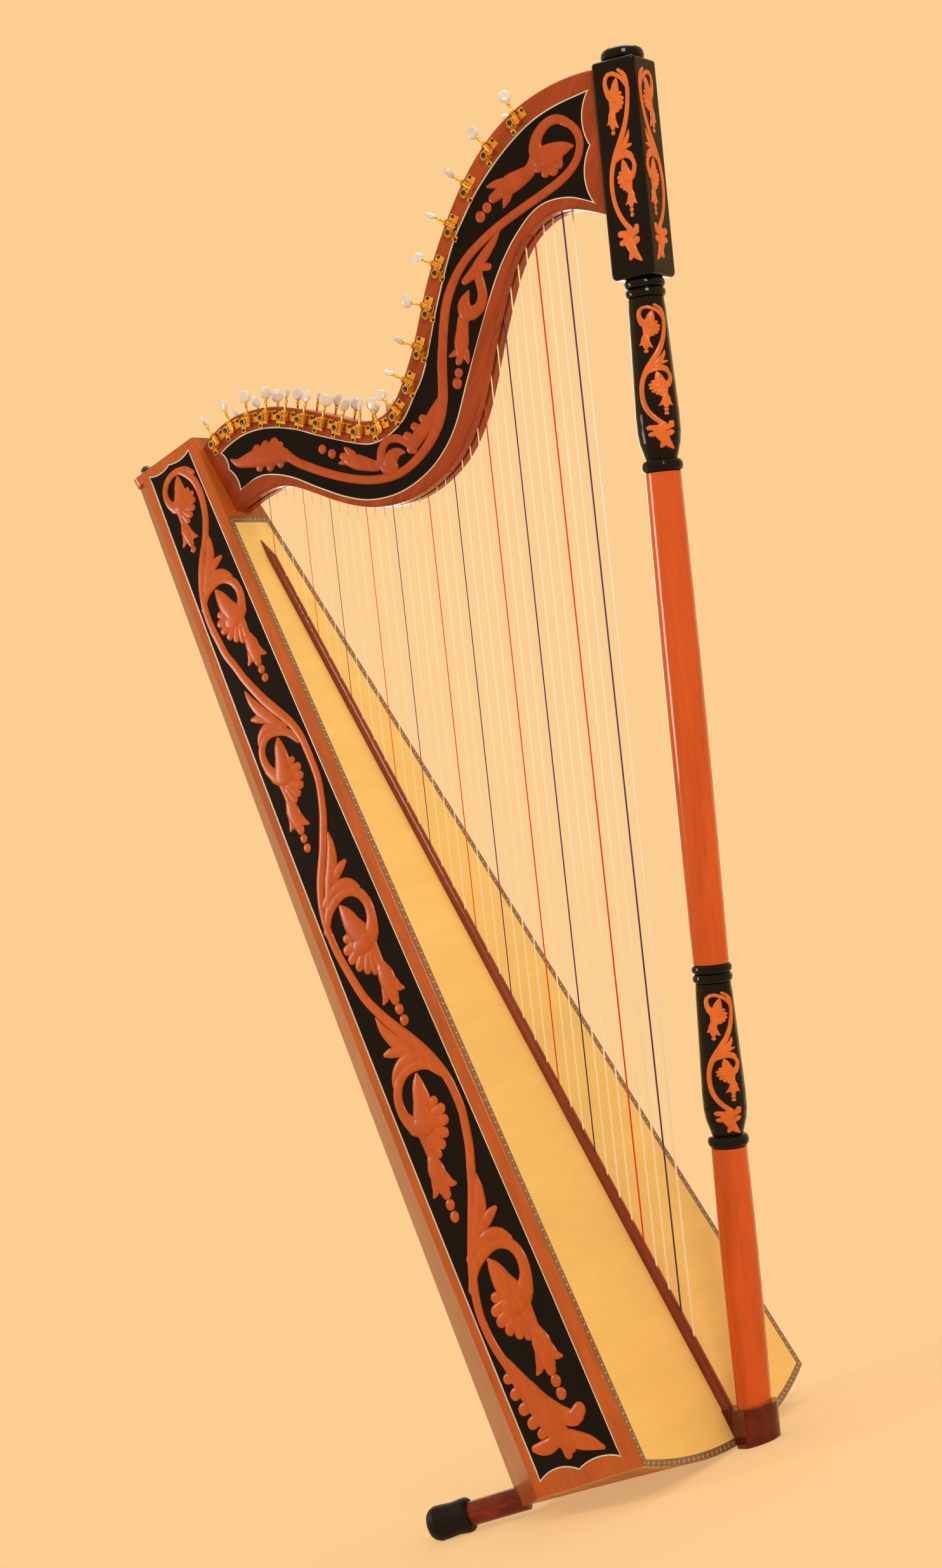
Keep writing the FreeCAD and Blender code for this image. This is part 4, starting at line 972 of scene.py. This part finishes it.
CAD_FINISHES = {
    "soundboard": "spruce", "string_rib": "rib", "near_side_panel": "panel", "far_side_panel": "panel",
    "strap_knob": "knob", "back_staves": "stave", "top_block": "panel", "base_board": "inner",
    "soundboard_braces": "inner", "neck_laminations": "neck", "nut_bars": "bone",
    "natural_strings": "natural", "red_strings": "red", "blue_strings": "blue",
    "machine_frames": "gold", "machine_screws": "black_steel", "string_posts": "gold_dark",
    "pillar_capital": "lacquer", "pillar_vases": "lacquer", "pillar_shafts": "shaft",
    "pillar_foot_block": "foot", "rear_legs": "leg", "rubber_feet": "rubber",
}


def machine_places():
    """The place of each machine, read from its joint: local X along, Y off the neck, Z outwards."""
    places = {}
    for joint in frame["record"]["behaviour"]["joints"]:
        number = int(joint["child"].split("_")[1])
        out = Vector(joint["axis"]).normalized()
        origin = Vector(joint["pos_m"])
        off = Vector((0, math.copysign(1, origin.y), 0))
        along = Vector((out.z, 0, -out.x))
        turn = Matrix((along, off, out)).transposed().to_4x4()
        places[number] = Matrix.Translation(origin) @ turn
    return places


def carving_rate(context):
    """The carving's height for a stroke one millimetre in radius; it grows with the root."""
    return context.scene.harp_sizes.carving_high * 1000 / math.sqrt(10)


def purfling_edges(wide):
    """The outer and the inner edge of the mosaic strip, up one side, down the other, round the base."""
    bow = (HALF_BASE ** 2 + BASE_SAG ** 2) / (2 * BASE_SAG)

    def arch(y):
        return -BASE_SAG + bow - math.sqrt(bow * bow - y * y)

    def edge(z, inset):
        return half_width(z) - BOARD_INSET - inset

    heights = np.linspace(arch(edge(0, 0)), BOARD_LENGTH, 60)
    inner_heights = np.linspace(arch(edge(0, wide)) + wide, BOARD_LENGTH - wide, 60)
    outer = [(-edge(z, 0), z) for z in heights]
    outer += [(edge(z, 0), z) for z in heights[::-1]]
    inner = [(-edge(z, wide), z) for z in inner_heights]
    inner += [(edge(z, wide), z) for z in inner_heights[::-1]]
    for share in np.linspace(1, -1, 31)[1:]:
        y = share * edge(0, 0)
        inner_y = share * edge(0, wide)
        outer.append((y, arch(y)))
        inner.append((inner_y, arch(inner_y) + wide))
    return outer, inner


# Operators
class HARP_OT_finishes(bpy.types.Operator):
    """Give every part of the frame its wood, metal, string or lacquer finish"""
    bl_idname = "harp.finishes"
    bl_label = "Finishes"

    def execute(self, context):
        make_materials(context.scene.harp_colours)
        for node, material in CAD_FINISHES.items():
            for slot in frame["nodes"][node].material_slots:
                slot.material = MATERIALS[material]
        return {"FINISHED"}


class HARP_OT_fields(bpy.types.Operator):
    """Lay the black fields into the side panels and the neck, with their ivory lines"""
    bl_idname = "harp.fields"
    bl_label = "Black fields and ivory lines"

    def execute(self, context):
        wide = context.scene.harp_sizes.line_wide * 1000
        for label, side in SIDES.items():
            for place, outline, surface in (("panel", panel_outline(), on_panel(side)),
                                            ("neck", neck_outline(), on_neck(side))):
                field(f"{label}_{place}_field", outline, surface, MATERIALS["field"])
                line_round(f"{label}_{place}_line", drawn_in(outline, wide / 2), surface,
                           MATERIALS["ivory"], wide)
        return {"FINISHED"}


class HARP_OT_carving(bpy.types.Operator):
    """Carve the scrolls of the side panels and the neck in relief"""
    bl_idname = "harp.carving"
    bl_label = "Panel and neck carving"

    def execute(self, context):
        high = carving_rate(context)
        panel = scroll(PANEL_CURLS, PANEL_STEM, PANEL_LEAF)
        neck = scroll((), NECK_STEM, NECK_LEAF + NECK_SPRAYS)
        for label, side in SIDES.items():
            relief(f"{label}_panel_carving", panel, on_panel(side), MATERIALS["carving"], "cedar", high)
            relief(f"{label}_neck_carving", neck, on_neck(side), MATERIALS["neck_carving"], "cedar", high)
        return {"FINISHED"}


class HARP_OT_pillar_carving(bpy.types.Operator):
    """Carve the scrolls of the capital's faces and of the two swelling stretches of the pillar"""
    bl_idname = "harp.pillar_carving"
    bl_label = "Pillar carving"

    def execute(self, context):
        high = carving_rate(context) * PILLAR_CARVING_HIGH
        strokes = scroll(PILLAR_CURLS, PILLAR_STEM, PILLAR_LEAF)
        for face in ("near", "far", "front"):
            relief(f"capital_carving_{face}", strokes, on_capital(face), MATERIALS["pillar_carving"],
                   "shaft_wood", high)
        for name, vase in zip(("upper", "lower"), VASES):
            relief(f"vase_carving_{name}", strokes, on_vase(vase), MATERIALS["pillar_carving"],
                   "shaft_wood", high)
        return {"FINISHED"}


class HARP_OT_purfling(bpy.types.Operator):
    """Lay the mosaic strip round the soundboard"""
    bl_idname = "harp.purfling"
    bl_label = "Purfling"

    def execute(self, context):
        outer, inner = purfling_edges(context.scene.harp_sizes.purfling_wide * 1000)
        shape = bmesh.new()
        strip = shape.loops.layers.uv.new("strip")
        rails = []
        for line in (outer, inner):
            flat = [(FIELD_LIFT, y, z) for y, z in line]
            rails.append([shape.verts.new(p) for p in standing(flat)])
        run = 0.0
        for i in range(len(outer) - 1):
            length = math.dist(outer[i], outer[i + 1])
            face = shape.faces.new((rails[0][i], rails[0][i + 1], rails[1][i + 1], rails[1][i]))
            for loop, uv in zip(face.loops, ((run, 0), (run + length, 0), (run + length, 1), (run, 1))):
                loop[strip].uv = uv
            run += length
        mesh = bpy.data.meshes.new("purfling")
        shape.to_mesh(mesh)
        shape.free()
        piece = bpy.data.objects.new("purfling", mesh)
        bpy.context.collection.objects.link(piece)
        ahead = Vector((math.cos(math.radians(LEAN)), 0, math.sin(math.radians(LEAN))))
        if mesh.polygons[0].normal.dot(ahead) < 0:
            mesh.flip_normals()
        finish_piece(piece, MATERIALS["mosaic"], "harp")
        return {"FINISHED"}


class HARP_OT_keys(bpy.types.Operator):
    """Make the 37 tuning keys: ribbed worm, ferrule and pearl button"""
    bl_idname = "harp.keys"
    bl_label = "Tuning keys"

    def execute(self, context):
        sizes = context.scene.harp_sizes
        profile = [(0, -KEY_TAIL), (1.2, -KEY_TAIL), (1.5, -KEY_TAIL + 0.3), (1.5, -WORM_HALF - 0.1),
                   (2.2, -WORM_HALF)]
        for i in range(WORM_RIBS):
            middle = -WORM_HALF + 2 * WORM_HALF * (i + 0.5) / WORM_RIBS
            profile += [(r, middle + z) for r, z in WORM_RIB]
        profile += [(2.2, WORM_HALF), (1.5, WORM_HALF + 0.1), *KEY_FERRULE]
        stem = spun("key_stem", profile, 20)
        radius = sizes.button_radius * 1000
        half = sizes.button_thick * 500
        rim = [(0, -half)] + [(radius * out, -half * up) for out, up in BUTTON_RIM] + [(radius, 0)]
        rim += [(r, -z) for r, z in rim[-2::-1]]
        button = spun("key_button", rim, 32)
        upright = Matrix.Rotation(math.pi / 2, 4, "X")
        button.data.transform(Matrix.Translation((0, 0, BUTTON_CENTRE * MM)) @ upright)
        for piece, material in ((stem, "gold"), (button, "pearl")):
            piece.data.materials.append(MATERIALS[material])
            select_only(piece)
            bpy.ops.object.shade_smooth_by_angle(angle=math.radians(40))
        head = spun("post_head", POST_HEAD, 20)
        to_gear = Matrix.Translation((-GEAR_AWAY * MM, 0, -GEAR_DROP * MM))
        head.data.transform(to_gear @ upright.inverted())
        lower = Matrix.Translation((0, -SHAFT_HEIGHT * MM, 0))
        heads = []
        for number, place in machine_places().items():
            turn = Matrix.Rotation(math.radians(BUTTON_TURN * number % 180), 4, "Z")
            key = placed_copy(stem, f"key_{number:02d}_stem", place)
            knob = placed_copy(button, f"key_{number:02d}_button", place @ turn)
            key = joined(f"tuning_key_detail_{number:02d}", [key, knob])
            # A place on the near face is mirrored, which turns the faces inside out.
            if place.determinant() < 0:
                outwards(key)
            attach(key, f"key_{number:02d}")
            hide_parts(f"tuning_key_{number:02d}")
            heads.append(placed_copy(head, f"post_head_{number:02d}", place @ lower))
        posts = joined("post_heads", heads)
        outwards(posts)
        finish_piece(posts, MATERIALS["black_steel"], "harp", smooth=40)
        for model in (stem, button, head):
            removed(model)
        return {"FINISHED"}


class HARP_OT_stage(bpy.types.Operator):
    """Set the plain floor, the soft lights, the world and the camera"""
    bl_idname = "harp.stage"
    bl_label = "Stage"

    def execute(self, context):
        sizes, colours = context.scene.harp_sizes, context.scene.harp_colours
        bpy.ops.object.select_all(action="DESELECT")
        bpy.ops.mesh.primitive_circle_add(vertices=96, radius=sizes.floor_radius, fill_type="NGON")
        floor = context.object
        floor.name = "stage_floor"
        material, tree, shader, place = start_material("Floor")
        tree.links.new(blend(tree, noise(tree, place, 3.0, 2.0), colours.backdrop,
                             darker(colours.backdrop, 0.99)), shader.inputs["Base Color"])
        shader.inputs["Roughness"].default_value = 0.9
        shader.inputs["Specular IOR Level"].default_value = 0.1
        glow = tree.nodes.new("ShaderNodeEmission")
        glow.inputs["Color"].default_value = (*colours.backdrop, 1)
        far = tree.nodes.new("ShaderNodeVectorMath")
        far.operation = "LENGTH"
        tree.links.new(place, far.inputs[0])
        edge = tree.nodes.new("ShaderNodeMapRange")
        edge.interpolation_type = "SMOOTHSTEP"
        edge.inputs["From Min"].default_value = FLOOR_PLAIN
        edge.inputs["From Max"].default_value = FLOOR_FADED
        edge.inputs["To Min"].default_value = FLOOR_GLOW
        tree.links.new(far.outputs["Value"], edge.inputs["Value"])
        mixed = tree.nodes.new("ShaderNodeMixShader")
        tree.links.new(edge.outputs["Result"], mixed.inputs["Fac"])
        tree.links.new(shader.outputs["BSDF"], mixed.inputs[1])
        tree.links.new(glow.outputs["Emission"], mixed.inputs[2])
        output = next(n for n in tree.nodes if n.type == "OUTPUT_MATERIAL")
        tree.links.new(mixed.outputs["Shader"], output.inputs["Surface"])
        floor.data.materials.append(material)

        for name, at, size, power in LAMPS:
            lamp = bpy.data.lights.new(name, "AREA")
            lamp.shape = "SQUARE"
            lamp.size = size
            lamp.energy = power
            lamp.color = (1.0, 0.97, 0.93)
            holder = bpy.data.objects.new(name, lamp)
            context.collection.objects.link(holder)
            holder.location = at
            aim = Vector(LAMP_AIM) - Vector(at)
            holder.rotation_euler = aim.to_track_quat("-Z", "Y").to_euler()

        world = bpy.data.worlds.new("Studio")
        context.scene.world = world
        world.use_nodes = True
        sky = world.node_tree
        sky.nodes.clear()
        path = sky.nodes.new("ShaderNodeLightPath")
        bounced = maths(sky, "MAXIMUM", path.outputs["Is Glossy Ray"], path.outputs["Is Transmission Ray"])
        seen = maths(sky, "MAXIMUM", path.outputs["Is Camera Ray"], bounced)
        soft = sky.nodes.new("ShaderNodeBackground")
        soft.inputs["Color"].default_value = (1.0, 0.95, 0.88, 1)
        soft.inputs["Strength"].default_value = 0.62
        shown = sky.nodes.new("ShaderNodeBackground")
        shown.inputs["Color"].default_value = (*colours.backdrop, 1)
        shown.inputs["Strength"].default_value = 1.0
        choose = sky.nodes.new("ShaderNodeMixShader")
        sky.links.new(seen, choose.inputs["Fac"])
        sky.links.new(soft.outputs[0], choose.inputs[1])
        sky.links.new(shown.outputs[0], choose.inputs[2])
        end = sky.nodes.new("ShaderNodeOutputWorld")
        sky.links.new(choose.outputs[0], end.inputs["Surface"])

        lens = bpy.data.cameras.new("Camera")
        lens.sensor_fit = "VERTICAL"
        lens.sensor_height = 36.0
        lens.lens = LENS_MM
        lens.clip_end = 50.0
        camera = bpy.data.objects.new("Camera", lens)
        context.collection.objects.link(camera)
        turn = Matrix((CAMERA_RIGHT, CAMERA_UP, CAMERA_BACK)).transposed().to_4x4()
        camera.matrix_world = Matrix.Translation(CAMERA_PLACE) @ turn
        context.scene.camera = camera
        context.scene.view_settings.view_transform = "Standard"
        return {"FINISHED"}


OPERATORS = (HARP_OT_finishes, HARP_OT_fields, HARP_OT_carving, HARP_OT_pillar_carving, HARP_OT_purfling,
             HARP_OT_keys, HARP_OT_stage)


class HARP_PT_panel(bpy.types.Panel):
    """Lists the steps of the dressing and its sizes and colours"""
    bl_label = "Harp"
    bl_idname = "HARP_PT_panel"
    bl_space_type = "VIEW_3D"
    bl_region_type = "UI"
    bl_category = "Harp"

    def draw(self, context):
        for operator in OPERATORS:
            self.layout.operator(operator.bl_idname)
        for group in (context.scene.harp_sizes, context.scene.harp_colours):
            box = self.layout.box()
            for name in group.__annotations__:
                box.prop(group, name)


CLASSES = (HarpSizes, HarpColours) + OPERATORS + (HARP_PT_panel,)


def register():
    """Adds the harp's classes and settings to Blender."""
    for cls in CLASSES:
        bpy.utils.register_class(cls)
    bpy.types.Scene.harp_sizes = bpy.props.PointerProperty(type=HarpSizes)
    bpy.types.Scene.harp_colours = bpy.props.PointerProperty(type=HarpColours)


def unregister():
    """Takes them out again."""
    del bpy.types.Scene.harp_colours
    del bpy.types.Scene.harp_sizes
    for cls in reversed(CLASSES):
        bpy.utils.unregister_class(cls)


def main():
    """Runs every step in order."""
    register()
    bpy.ops.harp.finishes()
    bpy.ops.harp.fields()
    bpy.ops.harp.carving()
    bpy.ops.harp.pillar_carving()
    bpy.ops.harp.purfling()
    bpy.ops.harp.keys()
    bpy.ops.harp.stage()


if __name__ == "__main__":
    main()
